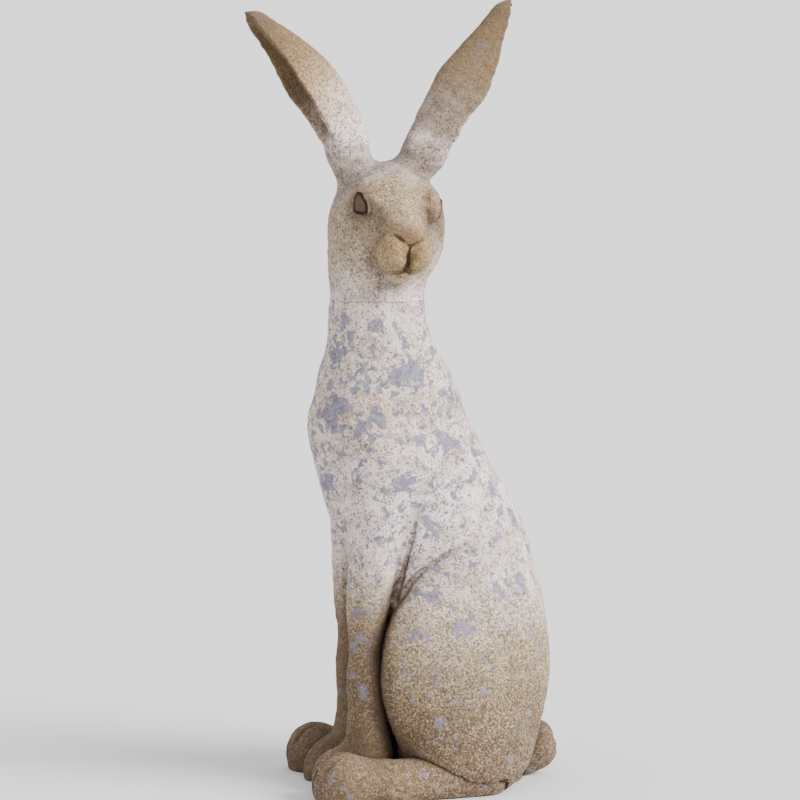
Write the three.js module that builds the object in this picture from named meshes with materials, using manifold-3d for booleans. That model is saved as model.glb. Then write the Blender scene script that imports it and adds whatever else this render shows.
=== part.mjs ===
// A cast-stone garden hare, sitting upright and looking over its left shoulder.
// Millimetres, +Z up. While it is modelled the hare faces -Y, its left side is +X, its own
// middle plane is X = 0 and it stands on Z = 0; the finished group is then moved so that
// the middle of its bounding box stands over the origin.
//
// The figure is sculpted as masses laid on an armature: each mass is a signed distance, the
// masses are blended as clay is, and the blended skin is meshed. The skin is then cut along
// its joints into the castings that a stone caster pins and pastes together.

import * as THREE from "three";
import { mergeVertices, toCreasedNormals } from "three/addons/utils/BufferGeometryUtils.js";
import { LoftGeometry } from "three/addons/geometries/LoftGeometry.js";
import Module from "manifold-3d";

const wasm = await Module();
wasm.setup();

const vec = (x, y, z) => new THREE.Vector3(x, y, z);
const degrees = THREE.MathUtils.degToRad;
const { lerp, smoothstep } = THREE.MathUtils;
const SIDES = { left: 1, right: -1 };

// Joints
const PASTE_GAP = 0.5; // the paste line of a flat or turned joint
const BED_GAP = 1.2; // the mortar bed where one rounded skin lies against another
const PIN_CLEARANCE = 0.4; // round a pin in its hole
const NECK_SEAM = 487; // height of the joint between body and head
const ELBOW_SEAM = 180; // height of the joint between body and forelegs

// Hollow of the body, along a line from the floor to the neck, and the plate that shuts it
const CORE_FOOT = { x: 0, y: 64, z: 0 };
const CORE_RADII = [
  { at: 0, r: 28 },
  { at: 0.07, r: 28 },
  { at: 0.24, r: 38 },
  { at: 0.55, r: 38 },
  { at: 0.9, r: 25 },
  { at: 1, r: 19 },
];
const PLATE_RADIUS = 34;
const PLATE_THICKNESS = 8;
const PLATE_RECESS = 1; // above the floor
const DRAIN_RADIUS = 7;

// Tenon under the head, in the mouth of the hollow
const TENON_TOP_RADIUS = 22;
const TENON_FOOT_RADIUS = 18.5;
const TENON_LENGTH = 42;
const HOLLOW_HEADROOM = 2; // between the tenon's foot and the top of the hollow

// Pins and rods
const NECK_PIN_RADIUS = 3;
const NECK_PIN_REACH = 20; // into each casting
const NECK_PIN_OFFSET = 35; // in front of and behind the middle of the neck
const EAR_PIN_RADIUS = 3;
const EAR_PIN_HEAD_REACH = 42;
const EAR_PIN_EAR_REACH = 0.33; // as a share of the ear's length
const FORELEG_ROD_RADIUS = 4;
const FORELEG_ROD_FOOT = 24; // height of its lower end
const FORELEG_ROD_REACH = 60; // above the elbow joint
const FOOT_PIN_RADIUS = 4;
const FOOT_PIN_PLACES = [28, 68]; // in Y
const FOOT_PIN_FOOT = 18; // height of the lower ends
const FOOT_PIN_LENGTH = 62;
const TAIL_PIN_RADIUS = 3;
const TAIL_PIN_BODY_REACH = 14; // beyond the first station of the tail
const TAIL_PIN_TAIL_REACH = 8; // beyond its second station

// Trunk: sections up the spine, each a height, the middle in Y, the half depth and half width
const TRUNK = [
  { z: -20, y: 64, depth: 60, width: 56 },
  { z: 60, y: 67, depth: 72, width: 60 },
  { z: 123, y: 67, depth: 79, width: 63 },
  { z: 184, y: 57, depth: 88, width: 66 },
  { z: 246, y: 35, depth: 97, width: 69 },
  { z: 286, y: 18, depth: 96, width: 69 },
  { z: 326, y: 1, depth: 89, width: 67 },
  { z: 366, y: -12, depth: 82, width: 62 },
  { z: 407, y: -15, depth: 70, width: 56 },
  { z: 447, y: -21, depth: 54, width: 50 },
  { z: 487, y: -24, depth: 48, width: 47 },
  { z: 520, y: -24, depth: 45, width: 44 },
  { z: 580, y: -24, depth: 20, width: 20 },
];
const TRUNK_TOP = 570; // inside the head
const NAPE = { x: -2, y: -24, z: 554 };
const NAPE_RADII = { x: 45, y: 45.5, z: 64 };

// Haunches
const HAUNCH = { x: 47, y: 52, z: 118 };
const HAUNCH_RADII = { x: 45, y: 83, z: 116 };

// Hocks: each swells out of the haunch over the back of the foot
const HOCK = { x: 65, y: 60, z: 38 };
const HOCK_RADII = { x: 35, y: 56, z: 44 };

// Forelegs: the middle line of the left one, with its radius
const FORELEG = [
  { x: 32, y: -22, z: 336, r: 36 },
  { x: 42, y: -33, z: 266, r: 30 },
  { x: 41, y: -38, z: 225, r: 24.5 },
  { x: 31, y: -42, z: 184, r: 19.5 },
  { x: 27, y: -44, z: 140, r: 16 },
  { x: 27, y: -43.5, z: 82, r: 16.5 },
  { x: 25, y: -45, z: 36, r: 19 },
];
const PAW = { x: 24, y: -62, z: 8 };
const PAW_RADII = { x: 19, y: 34, z: 36 };

// Hind feet: the middle line of the left one, with its radius
const HIND_FOOT = [
  { x: 72, y: -74, z: 18, r: 23 },
  { x: 74, y: -20, z: 14, r: 25 },
  { x: 67, y: 70, z: 18, r: 26 },
];
const TOE_BALL = { x: 72, y: -75, z: 14 };
const TOE_RADII = { x: 25, y: 29, z: 34 };

// Tail
const TAIL = [
  { x: 0, y: 118, z: 16, r: 22 },
  { x: 0, y: 143, z: 26, r: 23 },
  { x: 0, y: 145, z: 38, r: 18 },
];

// Head, in its own axes: +X the way it looks, +Y to its left, +Z up
const HEAD_TURN = 95; // to the hare's left, from the way the body faces
const HEAD_TILT = 4; // its left side held lower
const HEAD_CENTRE = { x: 12, y: -14.5, z: 572 };
const CRANIUM = { x: -4, y: 0, z: 2 };
const CRANIUM_RADII = { x: 56, y: 47, z: 50 };
const CHEEK = { x: 3, y: 23, z: -26 };
const CHEEK_RADII = { x: 42, y: 33, z: 38 };
const MUZZLE = { x: 40, y: 0, z: -30 };
const MUZZLE_RADII = { x: 36, y: 27, z: 31 };
const WHISKER_PAD = { x: 57, y: 14, z: -36 };
const WHISKER_PAD_RADII = { x: 20, y: 15.5, z: 20 };
const NOSE_BRIDGE = [
  { x: 26, y: 0, z: 8, r: 26 },
  { x: 60, y: 0, z: -18, r: 15 },
];
const NOSE = { x: 69, y: 0, z: -20 };
const NOSE_RADII = { x: 11, y: 13, z: 10 };
const CHIN = { x: 50, y: 0, z: -57 };
const CHIN_RADII = { x: 20, y: 14, z: 10 };
const ORBIT = { x: 19, y: 31, z: 6 };
const ORBIT_RADII = { x: 25, y: 15, z: 23 };
const TEAR_HOLLOW = { x: 50, y: 43, z: -8 };
const TEAR_HOLLOW_RADII = { x: 16, y: 12, z: 14 };

// Clefts of the nose and mouth: places across and up the face, from its own middle line
const CLEFT_RADIUS = 1.8;
const CLEFT_STEPS = 9;
const CLEFTS = {
  nostril_left: [[17, -19], [9, -24], [0, -30]],
  nostril_right: [[-17, -19], [-9, -24], [0, -30]],
  lip: [[0, -29], [0, -40], [0, -53]],
  mouth: [[-15, -54], [-8, -55], [0, -53], [8, -55], [15, -54]],
};

// Eyes, in the head's axes: the line that each looks out along, and the bead set on it
const EYE_HEIGHT = 5;
const EYE_TURN = 45; // forward from straight to the side
const EYE_BACK = 6; // how far behind the head's centre the two lines meet
const EYE_RADII = { x: 9.5, y: 6, z: 12.5 };
const EYE_PROUD = 1; // of the skin round it
const OUTSIDE = 110; // farther from the head's centre than any of its skin

// Ears: the middle line of each, from its joint with the head to its tip
const EAR_LINES = {
  left: [vec(2, 22, 636), vec(-5, 61.5, 695), vec(-18, 116, 787)],
  right: [vec(2, -51.5, 637), vec(-5, -81, 694), vec(-18, -149.5, 774)],
};
// Sections up an ear, each with its share of the length and, measured outward from the middle
// line, its rims and the floor of its scoop, then its belly inward and its half width
const EAR_SECTIONS = [
  { at: 0, rims: 3, floor: 27, belly: 21, half: 22.5 },
  { at: 0.1, rims: 18, floor: 19, belly: 23, half: 22 },
  { at: 0.2, rims: 20, floor: 2, belly: 25.5, half: 23.5 },
  { at: 0.35, rims: 21, floor: -11, belly: 28, half: 25.5 },
  { at: 0.48, rims: 21, floor: -10, belly: 27.5, half: 25 },
  { at: 0.67, rims: 15.5, floor: -4, belly: 21, half: 19.5 },
  { at: 0.85, rims: 10, floor: 1, belly: 13, half: 13 },
  { at: 1, rims: 4, floor: 4, belly: 6, half: 6 },
];
const EAR_RIM = 3.5; // thickness of the rims
const EAR_FACETS = 10; // round the back of each section
const EAR_RINGS = 12;
const EAR_ROOT = 34; // depth of an ear's root in the head, and how far it runs on above the joint
const EAR_ROOT_RADIUS = 24; // at the joint
const EAR_ROOT_FLARE = 6; // narrower at its lower end and wider at its upper end

// How softly the masses run together
const HOCK_SOFTNESS = 30;
const FLANK_SOFTNESS = 18; // haunch and trunk, at the front
const RUMP_SOFTNESS = 50; // haunch and trunk, at the back
const RUMP_START = 20; // in Y
const RUMP_END = 110;
const PAW_SOFTNESS = 14;
const ELBOW_SOFTNESS = 13;
const SHOULDER_SOFTNESS = 32;
const SHOULDER_START = 190; // in Z
const SHOULDER_END = 320;
const NECK_SOFTNESS = 20;
const FACE_SOFTNESS = 18;
const EAR_SOFTNESS = 14;
const HOLLOW_SOFTNESS = 14;

// Facets of what is turned, drawn or lofted
const PIN_FACETS = 12;
const TURNED_FACETS = 24;
const EYE_FACETS = 12;

// Sizes of the cells that the skins are meshed on, and how far the finer ones reach: from the
// elbow joint over the breast and the front of the haunches, and from the muzzle over the face
const CELL = {
  body: 22, elbow: 13, head: 12, face: 7.8, foreleg: 9.5, shank: 18, foot: 12.5, tail: 9.5,
};
const ELBOW_REACH = { side: 28, front: 18, back: 56, down: 36, up: 72 };
const FACE_REACH = { side: 50, front: 48, back: 30, down: 30, up: 60 };

// How far the skins run on past the cuts that end them
const FLOOR_TRIM = 8; // below the floor
const SEAM_TRIM = 12; // past a joint
const LAP = 20; // of the body's two skins, past the height of the elbows

// A signed distance to an ellipsoid, near enough to blend with.
function ellipsoid(centre, radii) {
  return (x, y, z) => {
    const dx = x - centre.x;
    const dy = y - centre.y;
    const dz = z - centre.z;
    const near = Math.hypot(dx / radii.x, dy / radii.y, dz / radii.z);
    const slope = Math.hypot(dx / radii.x ** 2, dy / radii.y ** 2, dz / radii.z ** 2);
    return slope ? (near * (near - 1)) / slope : -Math.min(radii.x, radii.y, radii.z);
  };
}

// A round limb through stations that each have a radius.
function limb(stations) {
  const spans = stations.slice(1).map((b, i) => {
    const a = stations[i];
    const along = vec(b.x - a.x, b.y - a.y, b.z - a.z);
    return { a, b, along, squared: along.lengthSq() };
  });
  return (x, y, z) => {
    let nearest = Infinity;
    for (const { a, b, along, squared } of spans) {
      const dot = (x - a.x) * along.x + (y - a.y) * along.y + (z - a.z) * along.z;
      const t = Math.min(1, Math.max(0, dot / squared));
      const away = Math.hypot(x - a.x - t * along.x, y - a.y - t * along.y, z - a.z - t * along.z);
      nearest = Math.min(nearest, away - lerp(a.r, b.r, t));
    }
    return nearest;
  };
}

// A smooth line through the values that stations hold under one key, as a function of another.
function spline(stations, across, key) {
  const points = stations.map((station) => new THREE.Vector2(station[across], station[key]));
  const table = new THREE.SplineCurve(points).getPoints(40 * stations.length);
  return (t) => {
    let low = 0;
    let high = table.length - 1;
    while (high - low > 1) {
      const middle = (low + high) >> 1;
      if (table[middle].x > t) high = middle;
      else low = middle;
    }
    const share = (t - table[low].x) / (table[high].x - table[low].x);
    return lerp(table[low].y, table[high].y, THREE.MathUtils.clamp(share, 0, 1));
  };
}

// An upright column of elliptical sections, smooth from one to the next.
function column(sections, top) {
  const [middle, depth, width] = ["y", "depth", "width"].map((key) => spline(sections, "z", key));
  return (x, y, z) => {
    const a = width(z);
    const b = depth(z);
    const near = Math.hypot(x / a, (y - middle(z)) / b);
    const slope = Math.hypot(x / a ** 2, (y - middle(z)) / b ** 2);
    const across = slope ? (near * (near - 1)) / slope : -Math.min(a, b);
    return Math.max(across, z - top);
  };
}

// Two masses run together over a soft width, which may change from place to place.
function blend(softness, a, b) {
  const width = typeof softness === "number" ? () => softness : softness;
  return (x, y, z) => {
    const u = a(x, y, z);
    const v = b(x, y, z);
    const k = width(x, y, z);
    const overlap = Math.max(k - Math.abs(u - v), 0) / k;
    return Math.min(u, v) - (overlap * overlap * k) / 4;
  };
}

// The first mass with the second scooped out of it, over a soft edge.
function scoop(softness, a, b) {
  const joined = blend(softness, (x, y, z) => -a(x, y, z), b);
  return (x, y, z) => -joined(x, y, z);
}

// A mass of the hare's or the head's left side, on both sides of the middle plane.
const bothFlanks = (mass) => (x, y, z) => mass(Math.abs(x), y, z);
const onSide = (side, mass) => (x, y, z) => mass(SIDES[side] * x, y, z);
const bothCheeks = (mass) => (x, y, z) => mass(x, Math.abs(y), z);
const grown = (mass, by) => (x, y, z) => mass(x, y, z) - by;
const below = (mass, top) => (x, y, z) => Math.max(mass(x, y, z), z - top);
const above = (mass, bottom) => (x, y, z) => Math.max(mass(x, y, z), bottom - z);

// A mass that is given in the head's axes, set where the head is.
const headTurn = new THREE.Quaternion().setFromEuler(
  new THREE.Euler(-degrees(HEAD_TILT), 0, degrees(HEAD_TURN - 90), "ZYX"));
const onHead = (place) => vec(place.x, place.y, place.z).applyQuaternion(headTurn).add(HEAD_CENTRE);
function placedOnHead(mass) {
  const back = headTurn.clone().invert();
  const q = vec(0, 0, 0);
  return (x, y, z) => {
    q.set(x - HEAD_CENTRE.x, y - HEAD_CENTRE.y, z - HEAD_CENTRE.z).applyQuaternion(back);
    return mass(q.x, q.y, q.z);
  };
}

// The twelve edges of a grid cell, each by its near corner and its axis, and its six faces, each
// by the edges that lie in it. Corner numbers hold one bit for each axis.
const CELL_CORNERS = [0, 1, 2, 3, 4, 5, 6, 7];
const CELL_EDGES = [0, 1, 2].flatMap((axis) => CELL_CORNERS
  .filter((near) => !(near & (1 << axis)))
  .map((near) => ({ axis, near, far: near | (1 << axis) })));
const CELL_FACES = [0, 1, 2].flatMap((axis) => [0, 1 << axis].map((side) =>
  CELL_EDGES.filter((edge) => edge.axis !== axis && (edge.near & (1 << axis)) === side)));
const offsets = (corner) => [corner & 1, (corner >> 1) & 1, corner >> 2];

// The edges of a cell that a surface crosses, sorted into the separate sheets of the surface.
function sheets(held) {
  const crossed = CELL_EDGES.filter(({ near, far }) => held[near] < 0 !== held[far] < 0);
  const next = new Map(crossed.map((edge) => [edge, edge]));
  const sheet = (edge) => (next.get(edge) === edge ? edge : sheet(next.get(edge)));
  for (const face of CELL_FACES) {
    const cut = face.filter((edge) => next.has(edge));
    for (const a of cut)
      for (const b of cut) {
        const shared = [a.near, a.far].find((corner) => corner === b.near || corner === b.far);
        if (cut.length === 2 || held[shared] < 0) next.set(sheet(a), sheet(b));
      }
  }
  return crossed
    .filter((edge) => sheet(edge) === edge)
    .map((first) => crossed.filter((edge) => sheet(edge) === first));
}

// The stops of a grid along one axis: each entry is where a step size starts, and the last is
// where the grid ends.
const SPARE_CELLS = 1.6;
const JUST_OUTSIDE = 1e-6; // for a place that is exactly on the surface
function stops(...stretches) {
  return stretches.flatMap(([from, step], i) => {
    if (i === stretches.length - 1) return [from];
    const to = stretches[i + 1][0];
    const count = Math.max(0, Math.ceil((to - from) / step));
    return Array.from({ length: count }, (_, n) => lerp(from, to, n / count));
  });
}

// The box round masses that are each given by a middle and either radii or one radius.
function around(...masses) {
  return masses.reduce((box, { x, y, z, r, radii = { x: r, y: r, z: r } }) => box
    .expandByPoint(vec(x - radii.x, y - radii.y, z - radii.z))
    .expandByPoint(vec(x + radii.x, y + radii.y, z + radii.z)), new THREE.Box3());
}

// A grid over a box and a cell to spare all round it. On an axis that is also given a stretch,
// as its start, its end and a step, that stretch has its own step.
function gridOver(box, step, stretches = {}) {
  return Object.fromEntries(["x", "y", "z"].map((axis) => {
    const start = box.min[axis] - SPARE_CELLS * step;
    const end = box.max[axis] + SPARE_CELLS * step;
    const [from, to, own] = stretches[axis] ?? [start, end, step];
    return [axis, stops([start, step], [from, own], [to, step], [end])];
  }));
}

// Meshes where a field is zero on a grid: one vertex for each sheet of the surface in a cell,
// settled onto the surface, and one quad round each grid edge that the surface crosses.
function skin(field, grid) {
  const along = [grid.x, grid.y, grid.z];
  const count = along.map((places) => places.length);
  const cells = count.map((n) => n - 1);
  const stride = [1, count[0], count[0] * count[1]];
  const place = (...steps) => steps.map((n, axis) => along[axis][n]);
  const index = (...steps) => steps.reduce((sum, n, axis) => sum + n * stride[axis], 0);
  const values = new Float64Array(count[0] * count[1] * count[2]);
  const everyPoint = (from, to, visit) => {
    for (let k = from; k < to[2]; k++)
      for (let j = from; j < to[1]; j++)
        for (let i = from; i < to[0]; i++) visit(i, j, k);
  };
  everyPoint(0, count, (i, j, k) => {
    values[index(i, j, k)] = field(...place(i, j, k)) || JUST_OUTSIDE;
  });

  const positions = [];
  const vertexOn = new Map();
  const key = (cell, edge) => 24 * cell + 8 * edge.axis + edge.near;
  everyPoint(0, cells, (i, j, k) => {
    const cell = index(i, j, k);
    const held = CELL_CORNERS.map((corner) => values[cell + index(...offsets(corner))]);
    const inside = held.filter((value) => value < 0).length;
    if (inside === 0 || inside === 8) return;
    const near = place(i, j, k);
    const far = place(i + 1, j + 1, k + 1);
    for (const sheet of sheets(held)) {
      const mean = [0, 0, 0];
      for (const edge of sheet) {
        const crossing = offsets(edge.near);
        crossing[edge.axis] = held[edge.near] / (held[edge.near] - held[edge.far]);
        crossing.forEach((c, axis) => (mean[axis] += c / sheet.length));
        vertexOn.set(key(cell, edge), positions.length / 3);
      }
      const start = mean.map((share, axis) => lerp(near[axis], far[axis], share));
      positions.push(...settle(field, start, near, far));
    }
  });

  const triangles = [];
  everyPoint(1, cells, (i, j, k) => {
    const here = index(i, j, k);
    for (const axis of [0, 1, 2]) {
      if (values[here] < 0 === values[here + stride[axis]] < 0) continue;
      const b = (axis + 1) % 3;
      const c = (axis + 2) % 3;
      const quad = [[1, 1], [0, 1], [0, 0], [1, 0]].map(([onB, onC]) => vertexOn.get(key(
        here - onB * stride[b] - onC * stride[c], { axis, near: (onB << b) | (onC << c) })));
      if (values[here] >= 0) quad.reverse();
      triangles.push(...split(quad, positions));
    }
  });
  const geometry = new THREE.BufferGeometry();
  geometry.setAttribute("position", new THREE.Float32BufferAttribute(positions, 3));
  geometry.setIndex(triangles);
  return geometry;
}

// The slope of a field at a place.
function slopeOf(field, point) {
  const value = field(...point);
  return [0, 1, 2].map((axis) => {
    const ahead = [...point];
    ahead[axis] += SLOPE_REACH;
    return (field(...ahead) - value) / SLOPE_REACH;
  });
}

// Slides a point along the field's slope onto its surface, without leaving its grid cell.
const SLOPE_REACH = 0.2;
const SETTLE_PASSES = 3;
function settle(field, start, near, far) {
  let point = start;
  for (let pass = 0; pass < SETTLE_PASSES; pass++) {
    const value = field(...point);
    const slope = slopeOf(field, point);
    const squared = slope.reduce((sum, s) => sum + s * s, 0) || 1;
    point = point.map((p, axis) => THREE.MathUtils.clamp(
      p - (value * slope[axis]) / squared, near[axis], far[axis]));
  }
  return point;
}

// Cuts a quad along its shorter diagonal.
function split([a, b, c, d], positions) {
  const apart = (p, q) => [0, 1, 2].reduce(
    (sum, axis) => sum + (positions[3 * p + axis] - positions[3 * q + axis]) ** 2, 0);
  return apart(a, c) <= apart(b, d) ? [a, b, c, a, c, d] : [a, b, d, b, c, d];
}

// A closed geometry as a solid that can be joined and cut. A skin's triangles share their
// vertices already; those of three's own classes, which have normals, are welded first.
function solid(geometry) {
  const bare = new THREE.BufferGeometry();
  bare.setAttribute("position", geometry.getAttribute("position").clone());
  if (geometry.index) bare.setIndex(geometry.index.clone());
  const welded = geometry.hasAttribute("normal") ? mergeVertices(bare, 1e-4) : bare;
  const corners = welded.index.array;
  const triVerts = [];
  for (let i = 0; i < corners.length; i += 3) {
    const [a, b, c] = corners.slice(i, i + 3);
    if (a !== b && b !== c && c !== a) triVerts.push(a, b, c);
  }
  return new wasm.Manifold(new wasm.Mesh({
    numProp: 3,
    vertProperties: new Float32Array(welded.getAttribute("position").array),
    triVerts: new Uint32Array(triVerts),
  }));
}

// The triangles of the largest body in a mesh: the chips that a cut leaves are dropped.
function largestBody(triangles, positions) {
  const joined = Array.from({ length: positions.length / 3 }, (_, i) => i);
  const root = (i) => {
    while (joined[i] !== i) i = joined[i] = joined[joined[i]];
    return i;
  };
  const corner = (i) => vec(...positions.subarray(3 * i, 3 * i + 3));
  for (let t = 0; t < triangles.length; t += 3) {
    joined[root(triangles[t])] = root(triangles[t + 1]);
    joined[root(triangles[t + 1])] = root(triangles[t + 2]);
  }
  const bodies = new Map();
  for (let t = 0; t < triangles.length; t += 3) {
    const [a, b, c] = triangles.subarray(t, t + 3);
    const body = bodies.get(root(a)) ?? { volume: 0, triangles: [] };
    body.volume += corner(a).dot(corner(b).cross(corner(c))) / 6;
    body.triangles.push(a, b, c);
    bodies.set(root(a), body);
  }
  return [...bodies.values()].sort((p, q) => q.volume - p.volume)[0].triangles;
}

// A solid back as a geometry, shaded smooth except across its creases.
function geometryOf(cut) {
  const { vertProperties, triVerts, numProp } = cut.getMesh();
  const geometry = new THREE.BufferGeometry();
  geometry.setAttribute("position", new THREE.BufferAttribute(vertProperties, numProp));
  geometry.setIndex(largestBody(triVerts, vertProperties));
  return toCreasedNormals(geometry, degrees(40));
}

// Everything between two heights.
const WORLD = 2000;
function slab(bottom, top) {
  const box = new THREE.BoxGeometry(WORLD, WORLD, top - bottom);
  return solid(box.translate(0, 0, (top + bottom) / 2));
}

// The masses of the figure
const haunch = bothFlanks(ellipsoid(HAUNCH, HAUNCH_RADII));
const trunk = column(TRUNK, TRUNK_TOP);
const hip = blend(HOCK_SOFTNESS, haunch, bothFlanks(ellipsoid(HOCK, HOCK_RADII)));
const hipSoftness = (x, y) => lerp(
  FLANK_SOFTNESS, RUMP_SOFTNESS, smoothstep(y, RUMP_START, RUMP_END));
const core = blend(hipSoftness, trunk, hip);
const foreleg = blend(PAW_SOFTNESS, limb(FORELEG), ellipsoid(PAW, PAW_RADII));
const hindFoot = blend(PAW_SOFTNESS, limb(HIND_FOOT), ellipsoid(TOE_BALL, TOE_RADII));
const tail = limb(TAIL);

// The skull, each mass with the softness that it is laid on with
const skull = [
  [24, bothCheeks(ellipsoid(CHEEK, CHEEK_RADII))],
  [16, ellipsoid(MUZZLE, MUZZLE_RADII)],
  [14, limb(NOSE_BRIDGE)],
  [8, ellipsoid(CHIN, CHIN_RADII)],
  [5, bothCheeks(ellipsoid(WHISKER_PAD, WHISKER_PAD_RADII))],
  [4, ellipsoid(NOSE, NOSE_RADII)],
  [18, bothCheeks(ellipsoid(ORBIT, ORBIT_RADII))],
].reduce((sum, [softness, mass]) => blend(softness, sum, mass), ellipsoid(CRANIUM, CRANIUM_RADII));
const tearHollows = bothCheeks(ellipsoid(TEAR_HOLLOW, TEAR_HOLLOW_RADII));
const face = placedOnHead(scoop(HOLLOW_SOFTNESS, skull, tearHollows));

const earOutward = (side) => vec(0, SIDES[side], 0).applyQuaternion(headTurn);
function earRoot(side) {
  const [{ floor, belly }] = EAR_SECTIONS;
  const line = new THREE.CatmullRomCurve3(EAR_LINES[side]);
  const joint = line.getPointAt(0).addScaledVector(earOutward(side), (floor - belly) / 2);
  return [-1, 1].map((way) => {
    const { x, y, z } = joint.clone().addScaledVector(line.getTangentAt(0), way * EAR_ROOT);
    return { x, y, z, r: EAR_ROOT_RADIUS + way * EAR_ROOT_FLARE };
  });
}
const earRoots = Object.keys(SIDES).map(earRoot);
const head = [
  [FACE_SOFTNESS, face],
  ...earRoots.map((root) => [EAR_SOFTNESS, limb(root)]),
].reduce((sum, [softness, mass]) => blend(softness, sum, mass), ellipsoid(NAPE, NAPE_RADII));
const shoulderSoftness = (x, y, z) => lerp(
  ELBOW_SOFTNESS, SHOULDER_SOFTNESS, smoothstep(z, SHOULDER_START, SHOULDER_END));
const torso = blend(shoulderSoftness, core, bothFlanks(foreleg));
const figure = blend(NECK_SOFTNESS, torso, head);

// A place on the surface of a mass, on the line from a place outside it along a direction.
const MARCH_STEPS = 60;
const MARCH_SHARE = 0.7; // of the distance left
function onSurface(mass, from, direction) {
  const place = from.clone();
  for (let step = 0; step < MARCH_STEPS; step++)
    place.addScaledVector(direction, MARCH_SHARE * mass(...place));
  return place;
}

// Turns a geometry that stands along +Y, such as a cylinder, to stand along another direction.
const upright = (direction) => new THREE.Quaternion().setFromUnitVectors(vec(0, 1, 0), direction);

// The materials
const stone = (color) => new THREE.MeshStandardMaterial({ color, roughness: 0.92, metalness: 0 });
const paintedEye = () => new THREE.MeshStandardMaterial({ color: 0x6f5b4e, roughness: 0.7 });
const mortar = () => new THREE.MeshStandardMaterial({ color: 0xb3ab9c, roughness: 0.95 });
const steel = () => new THREE.MeshStandardMaterial({
  color: 0x9a9c98, roughness: 0.5, metalness: 1,
});
const PALE = 0xcdc4b4;
const OCHRE = 0x9c875f;

function piece(name, geometry, material) {
  const mesh = new THREE.Mesh(geometry, material);
  mesh.name = name;
  return mesh;
}

// A steel pin between two places.
function pin(name, { from, to, radius }) {
  const along = to.clone().sub(from);
  const rod = new THREE.CylinderGeometry(radius, radius, along.length(), PIN_FACETS);
  const mesh = piece(name, rod, steel());
  mesh.position.copy(from).addScaledVector(along, 0.5);
  mesh.quaternion.copy(upright(along.normalize()));
  return mesh;
}

// The hole that a pin lies in.
function bore({ from, to, radius }) {
  const along = to.clone().sub(from);
  const length = along.length() + 2 * PIN_CLEARANCE;
  const round = radius + PIN_CLEARANCE;
  const hole = new THREE.CylinderGeometry(round, round, length, PIN_FACETS);
  hole.applyQuaternion(upright(along.clone().normalize()));
  hole.translate(...from.clone().addScaledVector(along, 0.5));
  return solid(hole);
}

// Where the pins lie
const neckMiddle = vec(0, spline(TRUNK, "z", "y")(NECK_SEAM), NECK_SEAM);
const neckPins = Object.entries({ front: -1, rear: 1 }).map(([name, way]) => {
  const place = neckMiddle.clone().add(vec(0, way * NECK_PIN_OFFSET, 0));
  return [`neck_pin_${name}`, {
    from: place.clone().add(vec(0, 0, -NECK_PIN_REACH)),
    to: place.clone().add(vec(0, 0, NECK_PIN_REACH)),
    radius: NECK_PIN_RADIUS,
  }];
});
const forelegRod = (side) => ({
  from: vec(SIDES[side] * FORELEG[4].x, FORELEG[4].y, FORELEG_ROD_FOOT),
  to: vec(SIDES[side] * FORELEG[4].x, FORELEG[4].y, ELBOW_SEAM + FORELEG_ROD_REACH),
  radius: FORELEG_ROD_RADIUS,
});
const footMiddle = spline(HIND_FOOT, "y", "x");
const footPins = (side) => FOOT_PIN_PLACES.map((y) => ({
  from: vec(SIDES[side] * footMiddle(y), y, FOOT_PIN_FOOT),
  to: vec(SIDES[side] * footMiddle(y), y, FOOT_PIN_FOOT + FOOT_PIN_LENGTH),
  radius: FOOT_PIN_RADIUS,
}));
const [tailRoot, tailMiddle] = TAIL.map(({ x, y, z }) => vec(x, y, z));
const tailWay = tailMiddle.clone().sub(tailRoot).normalize();
const tailPin = {
  from: tailRoot.clone().addScaledVector(tailWay, -TAIL_PIN_BODY_REACH),
  to: tailMiddle.clone().addScaledVector(tailWay, TAIL_PIN_TAIL_REACH),
  radius: TAIL_PIN_RADIUS,
};

// The grids that the castings are meshed on
const haunches = around(
  { ...HAUNCH, radii: HAUNCH_RADII }, { ...HOCK, radii: HOCK_RADII },
  ...TRUNK.map(({ z, y, depth, width }) => ({ x: 0, y, z, radii: { x: width, y: depth, z: 0 } })));
const bodyBox = new THREE.Box3(
  vec(-haunches.max.x, Math.min(haunches.min.y, around(...FORELEG).min.y), -FLOOR_TRIM),
  vec(haunches.max.x, haunches.max.y, NECK_SEAM + SEAM_TRIM));
const elbow = FORELEG.find(({ z }) => z < ELBOW_SEAM);
const BODY_GRID = gridOver(bodyBox, CELL.body, {
  x: [-elbow.x - ELBOW_REACH.side, elbow.x + ELBOW_REACH.side, CELL.elbow],
  y: [elbow.y - ELBOW_REACH.front, elbow.y + ELBOW_REACH.back, CELL.elbow],
  z: [ELBOW_SEAM - ELBOW_REACH.down, ELBOW_SEAM + ELBOW_REACH.up, CELL.elbow],
});
const headBox = around(
  ...[CRANIUM, MUZZLE, CHEEK].map(onHead).map(({ x, y, z }) => ({ x, y, z, r: CRANIUM_RADII.x })),
  { ...NAPE, radii: NAPE_RADII }, ...earRoots.flat());
headBox.min.z = NECK_SEAM - SEAM_TRIM;
headBox.max.z = Math.max(...Object.values(EAR_LINES).map(([{ z }]) => z)) + EAR_ROOT_RADIUS;
const faceMiddle = onHead(MUZZLE);
const HEAD_GRID = gridOver(headBox, CELL.head, {
  x: [faceMiddle.x - FACE_REACH.back, faceMiddle.x + FACE_REACH.front, CELL.face],
  y: [faceMiddle.y - FACE_REACH.side, faceMiddle.y + FACE_REACH.side, CELL.face],
  z: [faceMiddle.z - FACE_REACH.down, faceMiddle.z + FACE_REACH.up, CELL.face],
});
const forelegBox = around(
  ...FORELEG.filter(({ z }) => z < ELBOW_SEAM + SEAM_TRIM), { ...PAW, radii: PAW_RADII });
const FORELEG_GRID = gridOver(forelegBox, CELL.foreleg, {
  z: [PAW_RADII.z, ELBOW_SEAM, CELL.shank],
});
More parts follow.
